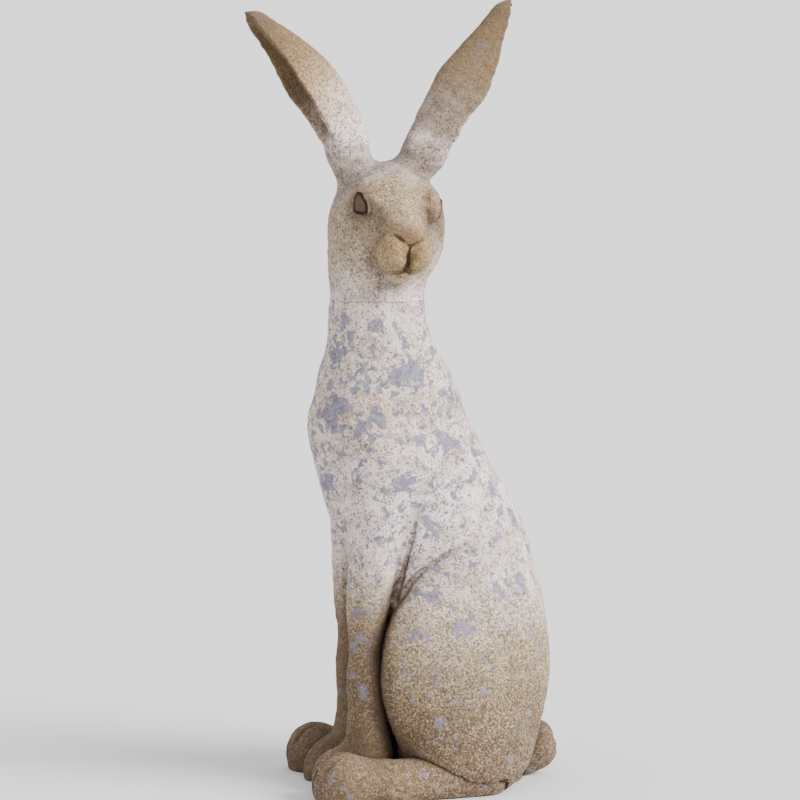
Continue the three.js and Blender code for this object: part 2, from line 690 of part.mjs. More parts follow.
const FOOT_GRID = gridOver(around(...HIND_FOOT, { ...TOE_BALL, radii: TOE_RADII }), CELL.foot);
const TAIL_GRID = gridOver(around(...TAIL), CELL.tail);
const gridOn = (side, grid) => (
  side === "left" ? grid : { ...grid, x: grid.x.map((x) => -x).reverse() });

// The skins that more than one casting is cut from
const coreTop = ELBOW_SEAM + 2 * LAP;
const coreSkin = solid(skin(above(below(core, coreTop), -FLOOR_TRIM), BODY_GRID));
const coreGrown = solid(skin(above(below(grown(core, BED_GAP), coreTop), -FLOOR_TRIM), BODY_GRID));
const footSkin = (side, by) => solid(skin(
  above(grown(onSide(side, hindFoot), by), -FLOOR_TRIM), gridOn(side, FOOT_GRID)));

function body() {
  const between = above(below(figure, NECK_SEAM + SEAM_TRIM), ELBOW_SEAM - 2 * LAP);
  const upper = solid(skin(between, BODY_GRID)).intersect(slab(ELBOW_SEAM, NECK_SEAM));
  const lower = coreSkin.intersect(slab(0, ELBOW_SEAM + LAP));
  let casting = upper.add(lower).subtract(coreHollow()).subtract(tenon(PASTE_GAP));
  casting = casting.subtract(plateDisc(PASTE_GAP));
  for (const side of Object.keys(SIDES)) {
    casting = casting.subtract(footSkin(side, BED_GAP)).subtract(bore(forelegRod(side)));
    for (const place of footPins(side)) casting = casting.subtract(bore(place));
  }
  for (const [, place] of neckPins) casting = casting.subtract(bore(place));
  return piece("body", geometryOf(casting.subtract(bore(tailPin))), stone(PALE));
}

// The hollow, a turned shape on the line from the floor to the foot of the neck's tenon.
function coreHollow() {
  const foot = vec(CORE_FOOT.x, CORE_FOOT.y, CORE_FOOT.z);
  const mouth = neckMiddle.clone().add(vec(0, 0, -TENON_LENGTH - HOLLOW_HEADROOM));
  const along = mouth.clone().sub(foot);
  const length = along.length();
  const profile = CORE_RADII.map(({ at, r }) => new THREE.Vector2(r, at * length));
  const outline = [new THREE.Vector2(0, 0), ...profile, new THREE.Vector2(0, length)];
  const hollow = new THREE.LatheGeometry(outline, TURNED_FACETS);
  hollow.applyQuaternion(upright(along.normalize())).translate(...foot);
  return solid(hollow);
}

// The tenon of the head, or with a gap the socket for it.
function tenon(gap) {
  const spare = 6; // it runs on into the head and the hollow
  const taper = (TENON_TOP_RADIUS - TENON_FOOT_RADIUS) / TENON_LENGTH;
  const foot = gap ? spare : 0;
  const length = TENON_LENGTH + spare + foot;
  const shape = new THREE.CylinderGeometry(
    TENON_TOP_RADIUS + taper * spare + gap, TENON_FOOT_RADIUS - taper * foot + gap, length,
    TURNED_FACETS);
  shape.rotateX(Math.PI / 2);
  return solid(shape.translate(...neckMiddle.clone().add(vec(0, 0, spare - length / 2))));
}

// The disc of the base plate, or with a gap the rebate for it.
function plateDisc(gap) {
  const round = PLATE_RADIUS + gap;
  const height = PLATE_THICKNESS + (gap ? gap + 2 * PLATE_RECESS : 0);
  const disc = new THREE.CylinderGeometry(round, round, height, TURNED_FACETS);
  disc.rotateX(Math.PI / 2);
  const bottom = gap ? -PLATE_RECESS : PLATE_RECESS;
  return solid(disc.translate(CORE_FOOT.x, CORE_FOOT.y, bottom + height / 2));
}

function basePlate() {
  const drain = new THREE.CylinderGeometry(
    DRAIN_RADIUS, DRAIN_RADIUS, 4 * PLATE_THICKNESS, TURNED_FACETS);
  drain.rotateX(Math.PI / 2).translate(CORE_FOOT.x, CORE_FOOT.y, 0);
  return piece("base_plate", geometryOf(plateDisc(0).subtract(solid(drain))), mortar());
}

function forelegCasting(side) {
  const whole = above(below(onSide(side, foreleg), ELBOW_SEAM + SEAM_TRIM), -FLOOR_TRIM);
  const casting = solid(skin(whole, gridOn(side, FORELEG_GRID)))
    .intersect(slab(0, ELBOW_SEAM - PASTE_GAP))
    .subtract(coreGrown)
    .subtract(bore(forelegRod(side)));
  return piece(`${side}_foreleg`, geometryOf(casting), stone(OCHRE));
}

function hindFootCasting(side) {
  let casting = footSkin(side, 0).intersect(slab(0, ELBOW_SEAM));
  for (const place of footPins(side)) casting = casting.subtract(bore(place));
  return piece(`${side}_hind_foot`, geometryOf(casting), stone(OCHRE));
}

function tailCasting() {
  const casting = solid(skin(above(tail, -FLOOR_TRIM), TAIL_GRID))
    .intersect(slab(0, ELBOW_SEAM))
    .subtract(coreGrown)
    .subtract(bore(tailPin));
  return piece("tail", geometryOf(casting), stone(OCHRE));
}

// The space that an ear stands in, beyond the plane of its joint with the head.
function earSpace(side) {
  const line = new THREE.CatmullRomCurve3(EAR_LINES[side]);
  const up = line.getTangentAt(0);
  const height = line.getLength();
  const box = new THREE.BoxGeometry(height, height, height).applyQuaternion(upright(up));
  return solid(box.translate(...line.getPointAt(0).addScaledVector(up, height / 2)));
}

// An ear: its sections lofted along its middle line.
function earSections(side) {
  const line = new THREE.CatmullRomCurve3(EAR_LINES[side]);
  const outward = earOutward(side);
  const shape = ["rims", "floor", "belly", "half"].map((key) => spline(EAR_SECTIONS, "at", key));
  return Array.from({ length: EAR_RINGS + 1 }, (_, i) => {
    const at = i / EAR_RINGS;
    const [rims, floor, belly, half] = shape.map((value) => value(at));
    const tangent = line.getTangentAt(at);
    const middle = line.getPointAt(at).addScaledVector(line.getTangentAt(0), PASTE_GAP);
    const out = outward.clone().addScaledVector(tangent, -outward.dot(tangent)).normalize();
    const fore = tangent.clone().cross(out).multiplyScalar(-SIDES[side]);
    const point = (o, f) => middle.clone().addScaledVector(out, o).addScaledVector(fore, f);
    const back = Array.from({ length: EAR_FACETS + 1 }, (_, n) => {
      const turn = (Math.PI * n) / EAR_FACETS;
      return point(rims - (rims + belly) * Math.sin(turn), half * Math.cos(turn));
    });
    const facets = EAR_FACETS - 3;
    const inner = 1 - EAR_RIM / Math.max(half, 2 * EAR_RIM);
    const scooped = Array.from({ length: facets + 1 }, (_, n) => {
      const turn = Math.PI * (1 - n / facets);
      return point(rims - (rims - floor) * Math.sin(turn), half * inner * Math.cos(turn));
    });
    const ring = [...back, ...scooped];
    return side === "left" ? ring.reverse() : ring;
  });
}

// The ear's pin leans in from its root, to stay in the thick of its inward side.
function earPin(side) {
  const line = new THREE.CatmullRomCurve3(EAR_LINES[side]);
  const outward = earOutward(side);
  const belly = spline(EAR_SECTIONS, "at", "belly")(EAR_PIN_EAR_REACH);
  const floor = spline(EAR_SECTIONS, "at", "floor")(EAR_PIN_EAR_REACH);
  const to = line.getPointAt(EAR_PIN_EAR_REACH).addScaledVector(outward, (floor - belly) / 2);
  const down = line.getPointAt(0).sub(to).normalize();
  const from = line.getPointAt(0).addScaledVector(down, EAR_PIN_HEAD_REACH);
  return { from, to, radius: EAR_PIN_RADIUS };
}

function ear(side) {
  const loft = new LoftGeometry(earSections(side), { closed: true, capStart: true, capEnd: true });
  const casting = solid(loft).subtract(bore(earPin(side)));
  return piece(`${side}_ear`, geometryOf(casting), stone(PALE));
}

// An eye, an oval bead set square to the skin, or with a gap the pocket for it.
function eyeBead(side, gap) {
  const look = vec(Math.sin(degrees(EYE_TURN)), SIDES[side] * Math.cos(degrees(EYE_TURN)), 0);
  const outside = onHead(vec(-EYE_BACK, 0, EYE_HEIGHT).addScaledVector(look, OUTSIDE));
  const inward = look.applyQuaternion(headTurn).negate();
  const place = onSurface(figure, outside, inward);
  const out = vec(...slopeOf(figure, [...place])).normalize();
  const bead = new THREE.SphereGeometry(1, EYE_FACETS, EYE_FACETS / 2);
  bead.scale(EYE_RADII.x + gap, EYE_RADII.y + gap, EYE_RADII.z + gap);
  const across = out.clone().cross(vec(0, 0, 1).applyQuaternion(headTurn)).normalize();
  const turn = new THREE.Matrix4().makeBasis(across, out, across.clone().cross(out));
  return bead.applyMatrix4(turn).translate(...place.addScaledVector(out, EYE_PROUD - EYE_RADII.y));
}

const eye = (side) => piece(`${side}_eye`, eyeBead(side, 0), paintedEye());

// One cleft of the face, as the thin round cut that makes it.
function cleft(places) {
  const drawn = new THREE.SplineCurve(places.map(([across, up]) => new THREE.Vector2(across, up)));
  const inward = vec(-1, 0, 0).applyQuaternion(headTurn);
  const path = new THREE.CatmullRomCurve3(drawn.getPoints(CLEFT_STEPS).map(
    ({ x: across, y: up }) => onSurface(figure, onHead(vec(OUTSIDE, across, up)), inward)));
  const round = new THREE.Shape().absarc(0, 0, CLEFT_RADIUS, 0, 2 * Math.PI);
  return solid(new THREE.ExtrudeGeometry(round, {
    steps: CLEFT_STEPS, curveSegments: PIN_FACETS / 2, extrudePath: path, bevelEnabled: false,
  }));
}

function headCasting() {
  const top = headBox.max.z;
  let casting = solid(skin(below(above(figure, NECK_SEAM - SEAM_TRIM), top), HEAD_GRID))
    .intersect(slab(NECK_SEAM + PASTE_GAP, top))
    .add(tenon(0));
  for (const side of Object.keys(SIDES)) {
    casting = casting
      .subtract(earSpace(side))
      .subtract(bore(earPin(side)))
      .subtract(solid(eyeBead(side, PASTE_GAP)));
  }
  for (const [, place] of neckPins) casting = casting.subtract(bore(place));
  for (const places of Object.values(CLEFTS)) casting = casting.subtract(cleft(places));
  return piece("head", geometryOf(casting), stone(PALE));
}

// The assembly
const hare = new THREE.Group();
const headGroup = new THREE.Group();
headGroup.add(headCasting());
for (const side of Object.keys(SIDES))
  headGroup.add(ear(side), eye(side), pin(`${side}_ear_pin`, earPin(side)));
hare.add(body(), basePlate(), headGroup, tailCasting(), pin("tail_pin", tailPin));
for (const [name, place] of neckPins) hare.add(pin(name, place));
for (const side of Object.keys(SIDES)) {
  hare.add(forelegCasting(side), pin(`${side}_foreleg_rod`, forelegRod(side)));
  hare.add(hindFootCasting(side));
  footPins(side).forEach((place, n) => hare.add(pin(`${side}_foot_pin_${n + 1}`, place)));
}

// The origin goes to the middle of the box that the hare fills, on the floor.
const box = new THREE.Box3().setFromObject(hare);
const middle = box.getCenter(vec(0, 0, 0));
hare.position.set(-middle.x, -middle.y, -box.min.z);

export default hare;
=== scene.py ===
"""A cast-stone garden hare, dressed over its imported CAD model.

The skins are sculpted as the CAD model's are, as masses of clay laid on one another, but
finely, with the creases, lids, clefts and toes that the coarse solids leave out. Masses are
given in millimetres in the figure's own axes: it faces -Y, its left side is +X and it
stands on Z = 0. The finished pieces are in metres in the frame of the CAD model.
"""

import sys
import logging
import math
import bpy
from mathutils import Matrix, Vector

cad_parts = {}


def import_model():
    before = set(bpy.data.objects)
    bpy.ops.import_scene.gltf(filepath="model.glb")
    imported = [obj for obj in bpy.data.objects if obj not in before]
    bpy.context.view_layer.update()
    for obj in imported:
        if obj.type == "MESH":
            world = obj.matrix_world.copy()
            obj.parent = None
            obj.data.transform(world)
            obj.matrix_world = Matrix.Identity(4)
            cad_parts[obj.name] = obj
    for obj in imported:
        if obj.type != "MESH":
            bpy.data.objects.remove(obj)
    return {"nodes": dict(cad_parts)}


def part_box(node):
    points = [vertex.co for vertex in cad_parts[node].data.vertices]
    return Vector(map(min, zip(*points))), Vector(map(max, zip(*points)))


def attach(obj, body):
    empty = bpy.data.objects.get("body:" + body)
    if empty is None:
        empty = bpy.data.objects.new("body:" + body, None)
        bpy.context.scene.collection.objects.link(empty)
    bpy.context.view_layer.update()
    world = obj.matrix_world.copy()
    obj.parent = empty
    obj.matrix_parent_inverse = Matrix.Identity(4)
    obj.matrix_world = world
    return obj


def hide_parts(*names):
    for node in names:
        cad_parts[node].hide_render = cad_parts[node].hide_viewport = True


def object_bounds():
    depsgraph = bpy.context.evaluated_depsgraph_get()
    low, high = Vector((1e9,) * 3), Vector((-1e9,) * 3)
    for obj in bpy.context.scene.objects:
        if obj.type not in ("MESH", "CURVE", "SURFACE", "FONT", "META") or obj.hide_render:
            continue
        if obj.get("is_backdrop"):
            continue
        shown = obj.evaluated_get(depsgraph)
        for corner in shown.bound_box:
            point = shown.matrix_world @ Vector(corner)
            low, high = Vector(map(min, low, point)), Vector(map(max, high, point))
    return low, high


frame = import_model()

from concurrent.futures import ThreadPoolExecutor
from dataclasses import dataclass
from enum import Enum
from typing import Callable, Sequence

import bpy
import numpy as np
from mathutils import Vector

CAD_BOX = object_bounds()
log = logging.getLogger("hare")

Points = np.ndarray
Values = np.ndarray
Triple = tuple[float, float, float]
Softness = float | Callable[[Points], Values]

MM = 0.001
COARSER = 1.0


class Side(Enum):
    """A side of the hare, with its direction along X, and along Y on the turned head."""

    LEFT = 1
    RIGHT = -1

    @property
    def word(self) -> str:
        """The side as node names give it."""
        return self.name.lower()


class Slot(Enum):
    """The record's material slots."""

    PALE = "pale_stone"
    OCHRE = "ochre_stone"
    EYE = "painted_eye"


def smoothstep(values: Values, start: float, end: float) -> Values:
    """A soft rise from 0 at start to 1 at end.

    Args:
        values: Where to take the rise.
        start: The value at which it starts.
        end: The value at which it ends.

    Returns:
        The height of the rise at each value.
    """
    share = np.clip((values - start) / (end - start), 0, 1)
    return share * share * (3 - 2 * share)


def length(vectors: Points) -> Values:
    """The length of each vector."""
    return np.sqrt(np.einsum("...i,...i", vectors, vectors))


def by_the_crew(work: Callable[[Points], np.ndarray], p: Points, share: int = 16000) -> np.ndarray:
    """Work done on many points at once, on all cores.

    Args:
        work: What is done with some of the points.
        p: All of the points.
        share: How many points are handed out at a time.

    Returns:
        The results for all points, in order.
    """
    with ThreadPoolExecutor() as crew:
        return np.concatenate(list(crew.map(work, np.array_split(p, len(p) // share + 1))))


def smooth_line(stations: Sequence[Sequence[float]], steps: int = 40) -> Points:
    """A smooth line through stations, as many points.

    Args:
        stations: The places that the line runs through.
        steps: How many points there are from one station to the next.

    Returns:
        The points of the line.
    """
    knots = np.array(stations, float)
    before = np.vstack([knots[:1], knots[:-1]])
    after = np.vstack([knots[1:], knots[-1:]])
    pull = (after - before) / 2
    share = np.linspace(0, 1, steps, endpoint=False)[:, None]
    spans = [
        a + share * (m + share * (3 * (b - a) - 2 * m - n + share * (2 * (a - b) + m + n)))
        for a, b, m, n in zip(knots, knots[1:], pull, pull[1:])
    ]
    return np.vstack([*spans, knots[-1:]])


# Clay


TINY = 1e-9
AT_MIDDLE = 1e-6
CREASE_WIDTH = 0.25
CREASE_NARROWING = 0.12
CREASE_SPARE = 14


def both(u: Values, v: Values, softness: float | Values) -> Values:
    """What lies in both of two shapes, with the edge between them rounded.

    Args:
        u: How far each point lies outside one shape.
        v: How far it lies outside the other.
        softness: How wide the rounding is.

    Returns:
        How far each point lies outside what they share.
    """
    overlap = np.maximum(softness - np.abs(u - v), 0)
    return np.maximum(u, v) + overlap * overlap / (4 * softness)


def oval(x: Values, y: Values, half_x: Values, half_y: Values) -> Values:
    """How far places in a plane lie outside an oval, near enough to blend with.

    Args:
        x: How far each place is from the middle one way.
        y: How far it is the other way.
        half_x: Half the width of the oval.
        half_y: Half its height.

    Returns:
        The distances.
    """
    near = np.hypot(x / half_x, y / half_y)
    steep = np.maximum(np.hypot(x / half_x ** 2, y / half_y ** 2), TINY)
    return np.where(near > AT_MIDDLE, near * (near - 1) / steep, -np.minimum(half_x, half_y))


class Mass:
    """A mass of clay: a signed distance, negative inside it."""

    def distance(self, p: Points) -> Values:
        """How far each point lies outside the mass."""
        raise NotImplementedError

    def slope(self, p: Points, reach: float = 0.15) -> Points:
        """The slope of the distance at each point.

        Args:
            p: The points.
            reach: How far along each axis the distance is taken again.

        Returns:
            How steeply the distance rises along each axis.
        """
        here = self.distance(p)
        return np.stack([(self.distance(p + reach * axis) - here) / reach
                         for axis in np.eye(3)], -1)


@dataclass(frozen=True)
class Ball(Mass):
    """An ellipsoid."""

    centre: Triple
    radii: Triple

    def distance(self, p: Points) -> Values:
        """How far each point lies outside the ball, near enough to blend with.

        Args:
            p: The points.

        Returns:
            The distances.
        """
        q = (p - np.array(self.centre)) / np.array(self.radii)
        near = length(q)
        steep = length(q / np.array(self.radii))
        return np.where(steep > TINY, near * (near - 1) / np.maximum(steep, TINY),
                        -min(self.radii))


@dataclass(frozen=True)
class Limb(Mass):
    """A round limb through stations, each a place and a radius."""

    stations: Sequence[Sequence[float]]

    def distance(self, p: Points) -> Values:
        """How far each point lies outside the limb.

        Args:
            p: The points.

        Returns:
            The distances.
        """
        nearest = np.full(p.shape[:-1], np.inf)
        stations = np.array(self.stations, float)
        for (*a, wide), (*b, narrow) in zip(stations, stations[1:]):
            along = np.subtract(b, a)
            share = np.clip((p - a) @ along / max(along @ along, TINY), 0, 1)
            away = length(p - a - share[..., None] * along)
            nearest = np.minimum(nearest, away - wide - share * (narrow - wide))
        return nearest


@dataclass(frozen=True)
class Column(Mass):
    """An upright column of elliptical sections, each a height, the middle in Y, the half
    depth and the half width."""

    sections: Sequence[Sequence[float]]
    top: float

    def distance(self, p: Points) -> Values:
        """How far each point lies outside the column.

        Args:
            p: The points.

        Returns:
            The distances.
        """
        line = smooth_line(self.sections)
        middle, depth, width = (np.interp(p[..., 2], line[:, 0], line[:, n]) for n in (1, 2, 3))
        across = oval(p[..., 0], p[..., 1] - middle, width, depth)
        return np.maximum(across, p[..., 2] - self.top)


@dataclass(frozen=True)
class Laid(Mass):
    """A mass with another laid on it, run together over a soft width."""

    base: Mass
    added: Mass
    softness: Softness

    def distance(self, p: Points) -> Values:
        """How far each point lies outside the joined masses."""
        softness = self.softness(p) if callable(self.softness) else self.softness
        return -both(-self.base.distance(p), -self.added.distance(p), softness)


@dataclass(frozen=True)
class Carved(Mass):
    """A mass with another carved out of it, over a soft edge."""

    base: Mass
    tool: Mass
    softness: float

    def distance(self, p: Points) -> Values:
        """How far each point lies outside what is left."""
        return both(self.base.distance(p), -self.tool.distance(p), self.softness)


@dataclass(frozen=True)
class Grown(Mass):
    """A mass made thicker all round, or with a negative number thinner."""

    mass: Mass
    by: float

    def distance(self, p: Points) -> Values:
        """How far each point lies outside the thicker mass."""
        return self.mass.distance(p) - self.by


@dataclass(frozen=True)
class Beyond(Mass):
    """Everything on one side of a plane: what lies beyond a point along a direction."""

    point: Triple
    direction: Triple

    def distance(self, p: Points) -> Values:
        """How far each point lies on the near side of the plane."""
        return -((p - np.array(self.point)) @ np.array(self.direction))


def below(height: float) -> Beyond:
    """Everything below a height."""
    return Beyond((0, 0, height), (0, 0, -1))


def above(height: float) -> Beyond:
    """Everything above a height."""
    return Beyond((0, 0, height), (0, 0, 1))


@dataclass(frozen=True)
class Between(Mass):
    """A mass that only matters between two heights, and is passed over elsewhere."""

    mass: Mass
    low: float
    high: float
    far: float = 400.0

    def distance(self, p: Points) -> Values:
        """How far each point lies outside the mass, or a great distance elsewhere.

        Args:
            p: The points.

        Returns:
            The distances.
        """
        flat = p.reshape(-1, 3)
        values = np.full(len(flat), self.far)
        near = (flat[:, 2] > self.low) & (flat[:, 2] < self.high)
        if near.any():
            values[near] = self.mass.distance(flat[near])
        return values.reshape(p.shape[:-1])


@dataclass(frozen=True)
class BothSides(Mass):
    """A mass of the left side and its mirror image on the right."""

    mass: Mass
    axis: int = 0

    def distance(self, p: Points) -> Values:
        """How far each point lies outside both masses.

        Args:
            p: The points.

        Returns:
            The distances.
        """
        q = p.copy()
        q[..., self.axis] = np.abs(q[..., self.axis])
        return self.mass.distance(q)


@dataclass(frozen=True)
class OnSide(Mass):
    """A mass of the left side, on a side of the hare."""

    mass: Mass
    side: Side

    def distance(self, p: Points) -> Values:
        """How far each point lies outside the mass on its side."""
        return self.mass.distance(p * np.array([self.side.value, 1, 1]))


@dataclass(frozen=True)
class Worked(Mass):
    """A mass that fine work changes only within reach of a place."""

    mass: Mass
    fine: Mass
    place: Triple
    reach: float

    def distance(self, p: Points) -> Values:
        """How far each point lies outside the worked mass.

        Args:
            p: The points.

        Returns:
            The distances.
        """
        flat = p.reshape(-1, 3)
        values = self.mass.distance(flat)
        near = length(flat - np.array(self.place)) < self.reach
        if near.any():
            values[near] = self.fine.distance(flat[near])
        return values.reshape(p.shape[:-1])


@dataclass(frozen=True)
class HandWork(Mass):
    """A mass with the low lumps and hollows that hand work leaves in clay."""

    mass: Mass
    inset: float = 0.8
    depths: Sequence = (1.0, 0.3)
    spans: Sequence = ((22.0, 80.0), (7.0, 14.0))
    waves: int = 14
    seed: int = 4

    def distance(self, p: Points) -> Values:
        """How far each point lies outside the lumpy mass.

        Args:
            p: The points.

        Returns:
            The distances.
        """
        draw = np.random.default_rng(self.seed)
        moved = -self.inset
        for depth, (shortest, longest) in zip(self.depths, self.spans):
            ways = draw.normal(size=(self.waves, 3))
            ways /= length(ways)[:, None]
            spans = draw.uniform(shortest, longest, self.waves)
            phases = draw.uniform(0, 2 * math.pi, self.waves)
            lumps = np.sin(p @ (ways * 2 * math.pi / spans[:, None]).T + phases) @ (spans / longest)
            moved = moved + depth * lumps / math.sqrt(self.waves)
        return self.mass.distance(p) - moved


def creased(mass: Mass, stations: Sequence[Sequence[float]], softness: float,
            depths: Sequence[float] = (-0.1, 0.4)) -> Mass:
    """A mass with a sharp crease pressed into it on both sides.

    Args:
        mass: The mass.
        stations: Places on its left side, each with how deep the crease is there.
        softness: How softly the lips of the crease turn in.
        depths: How far down the crease it is pressed, as shares of its depth.

    Returns:
        The creased mass.
    """
    line = smooth_line(stations, steps=3)
    places = settled(mass, line[:, :3], stride=3.0, passes=6)
    inward = -mass.slope(places, reach=1.0)
    low, high = line[:, 2].min() - CREASE_SPARE, line[:, 2].max() + CREASE_SPARE
    tools = [Limb(np.column_stack([places + inward * (line[:, 3:] * share),
                                   line[:, 3] * (CREASE_WIDTH - CREASE_NARROWING * share)]))
             for share in depths]
    pressed = mass
    for tool in tools:
        pressed = Carved(pressed, BothSides(Between(tool, low, high)), softness)
    return pressed


# Skins


CELLS_TO_A_BLOCK = 8
BLOCK_SPARE = 1.25
CELLS_SPARE = 2.3
FAR = 1e3
FLATTEST = 0.05
CORNERS = np.array([[i, j, k] for i in (0, 1) for j in (0, 1) for k in (0, 1)])


def grid_values(mass: Mass, low: Points, cell: float, blocks: Points) -> np.ndarray:
    """The distance to a mass on a grid, worked out only near its surface.

    Args:
        mass: The mass.
        low: The lowest corner of the grid.
        cell: The size of a cell.
        blocks: How many blocks of cells there are along each axis.

    Returns:
        The value at each point of the grid, or a large one of the right sign far away.
    """
    size = CELLS_TO_A_BLOCK
    index = np.stack(np.meshgrid(*map(np.arange, blocks), indexing="ij"), -1)
    centres = mass.distance(low + (index + 0.5) * size * cell)
    values = np.where(centres < 0, -FAR, FAR)
    for axis in range(3):
        values = np.repeat(values, size, axis)
    values = np.pad(values, ((0, 1),) * 3, mode="edge")
    near = np.abs(centres) < size * cell * math.sqrt(3) / 2 * BLOCK_SPARE
    local = np.stack(np.meshgrid(*[np.arange(size + 1)] * 3, indexing="ij"), -1)
    chosen = index[near] * size
    found = by_the_crew(
        lambda batch: mass.distance(low + cell * (batch[:, None, None, None, :] + local)),
        chosen, 60)
    for (i, j, k), block in zip(chosen, found):
        values[i:i + size + 1, j:j + size + 1, k:k + size + 1] = block
    return values


def skinned(mass: Mass, low: Sequence[float], high: Sequence[float],
            cell: float) -> tuple[Points, np.ndarray]:
    """The skin of a mass inside a box: one point in each cell that it passes through, and
    one four-sided face round each edge of the grid that it crosses.

    Args:
        mass: The mass, which is wholly inside the box.
        low: The lowest corner of the box.
        high: The highest corner of the box.
        cell: The size of a cell.

    Returns:
        The points, and the four points of each face.
    """
    low = np.array(low, float) - CELLS_SPARE * cell
    room = np.array(high) + CELLS_SPARE * cell - low
    blocks = np.ceil(room / (CELLS_TO_A_BLOCK * cell)).astype(int)
    values = grid_values(mass, low, cell, blocks)
    inside = values < 0
    shape = np.array(values.shape) - 1
    held = [inside[i:i + shape[0], j:j + shape[1], k:k + shape[2]] for i, j, k in CORNERS]
    crossed = np.any(held, 0) & ~np.all(held, 0)
    cells = np.argwhere(crossed)
    number = np.full(shape, -1)
    number[tuple(cells.T)] = np.arange(len(cells))
    at = [values[tuple((cells + corner).T)] for corner in CORNERS]
    total, count = np.zeros((len(cells), 3)), np.zeros(len(cells))
    for a in range(8):
        for b in range(a + 1, 8):
            if np.abs(CORNERS[a] - CORNERS[b]).sum() != 1:
                continue
            cut = (at[a] < 0) != (at[b] < 0)
            share = np.where(cut, at[a] / np.where(cut, at[a] - at[b], 1), 0)
            crossing = CORNERS[a] + share[:, None] * (CORNERS[b] - CORNERS[a])
            total += np.where(cut[:, None], crossing, 0)
            count += cut
    points = low + cell * (cells + total / count[:, None])
    faces = []
    for axis in range(3):
        b, c = (axis + 1) % 3, (axis + 2) % 3
        turned = np.moveaxis(inside, (axis, b, c), (0, 1, 2))
        numbers = np.moveaxis(number, (axis, b, c), (0, 1, 2))
        here, there = turned[:-1, 1:-1, 1:-1], turned[1:, 1:-1, 1:-1]
        i, j, k = np.nonzero(here != there)
        ring = np.stack([numbers[i, j, k], numbers[i, j + 1, k],
                         numbers[i, j + 1, k + 1], numbers[i, j, k + 1]], -1)
        outward = here[i, j, k]
        faces.append(np.where(outward[:, None], ring, ring[:, ::-1]))
    return points, np.vstack(faces)


def settled(mass: Mass, points: Points, stride: float, passes: int) -> Points:
    """Points slid along the slope onto the surface of a mass.

    Args:
        mass: The mass.
        points: Points near its surface.
        stride: The farthest that a point moves in a pass.
        passes: How many passes there are.

    Returns:
        The points where they come to rest.
    """
    def slid(some: Points) -> Points:
        """Some of the points after a pass.

        Args:
            some: The points before it.

        Returns:
            The points after it.
        """
        slope = mass.slope(some)
        steep = np.maximum((slope * slope).sum(-1), FLATTEST)
        move = np.clip(mass.distance(some) / steep, -stride, stride)
        return some - slope * move[:, None]

    for _ in range(passes):
        points = by_the_crew(slid, points)
    return points


def relaxed(points: Points, faces: np.ndarray, share: float = 0.5) -> Points:
    """Points drawn towards the middle of their neighbours, so that the faces even out.

    Args:
        points: The points.
        faces: The four points of each face.
        share: How far towards the middle they are drawn.

    Returns:
        The points after it.
    """
    edges = np.vstack([faces[:, [n, (n + 1) % 4]] for n in range(4)])
    count = np.bincount(edges[:, 0], minlength=len(points))
    middle = np.stack([np.bincount(edges[:, 0], points[edges[:, 1], axis], len(points))
                       for axis in range(3)], -1) / np.maximum(count, 1)[:, None]
    return points + share * (middle - points)


def figure_origin() -> Vector:
    """Where the figure's own origin lies in the frame of the CAD model, in metres.

    Returns:
        The origin, found from the pins of the neck.
    """
    pins = [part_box(f"neck_pin_{place}") for place in ("front", "rear")]
    middle = sum((low + high for low, high in pins), Vector()) / 4
    return middle - Vector((0, NECK_MIDDLE, NECK_SEAM)) * MM


def to_frame(points: Points) -> Points:
    """Points of the figure, in the frame of the CAD model."""
    return points * MM + np.array(ORIGIN)


def to_figure(points: Points) -> Points:
    """Points in the frame of the CAD model, in the figure's own axes."""
    return (points - np.array(ORIGIN)) / MM


# The figure


# Joints, allowances and soft edges, in millimetres
NECK_SEAM = 487.0
NECK_MIDDLE = -24.0
NECK_CUT = NECK_SEAM + 0.2
ELBOW_SEAM = 180.0
EARS_APART = -14
OUTSIDE = 110.0
BED = 0.25
BED_EDGE = 0.5
FLOOR_EDGE = 1.0
TRIM = 0.8
ORIGIN = figure_origin()
UNDER_FLOOR = below(0)


@dataclass(frozen=True)
class TrunkClay:
    """The trunk, the haunches and the hocks."""

    sections: Sequence = (
        (-20, 64, 60, 56), (60, 67, 72, 60), (123, 67, 79, 63), (184, 57, 88, 66),
        (246, 35, 97, 69), (286, 18, 96, 69), (326, 1, 89, 67), (366, -12, 82, 62),
        (407, -15, 70, 56), (447, -21, 54, 50), (487, -24, 48, 47), (520, -24, 45, 44),
        (580, -24, 20, 20),
    )
    top: float = 570
    haunch: Triple = (47, 52, 118)
    haunch_radii: Triple = (45, 83, 116)
    hock: Triple = (65, 60, 38)
    hock_radii: Triple = (35, 56, 44)
    hock_softness: float = 30
    flank_softness: float = 5
    rump_softness: float = 50
    rump_slant: float = 0.35
    rump_height: float = 150
    rump_reach: Sequence = (25, 125)
    crease: Sequence = (
        (71.5, 52, 250, 0.2), (70, 37, 242, 2.4), (68, 23, 233.5, 4.4), (62, 6, 220.5, 6.0),
        (51.5, -7.5, 202.5, 7.0), (39, -16, 180, 8.0),
    )
    crease_softness: float = 3

    def soft(self, p: Points) -> Values:
        """How softly haunch and trunk run together: crisply in front, not at the back."""
        back = smoothstep(p[..., 1] + self.rump_slant * (p[..., 2] - self.rump_height),
                          *self.rump_reach)
        return self.flank_softness + (self.rump_softness - self.flank_softness) * back

    def mass(self) -> Mass:
        """The masses laid together, and creased.

        Returns:
            The trunk.
        """
        hip = Laid(Ball(self.haunch, self.haunch_radii), Ball(self.hock, self.hock_radii),
                   self.hock_softness)
        mass = Laid(Column(self.sections, self.top), BothSides(hip), self.soft)
        return creased(mass, self.crease, self.crease_softness)


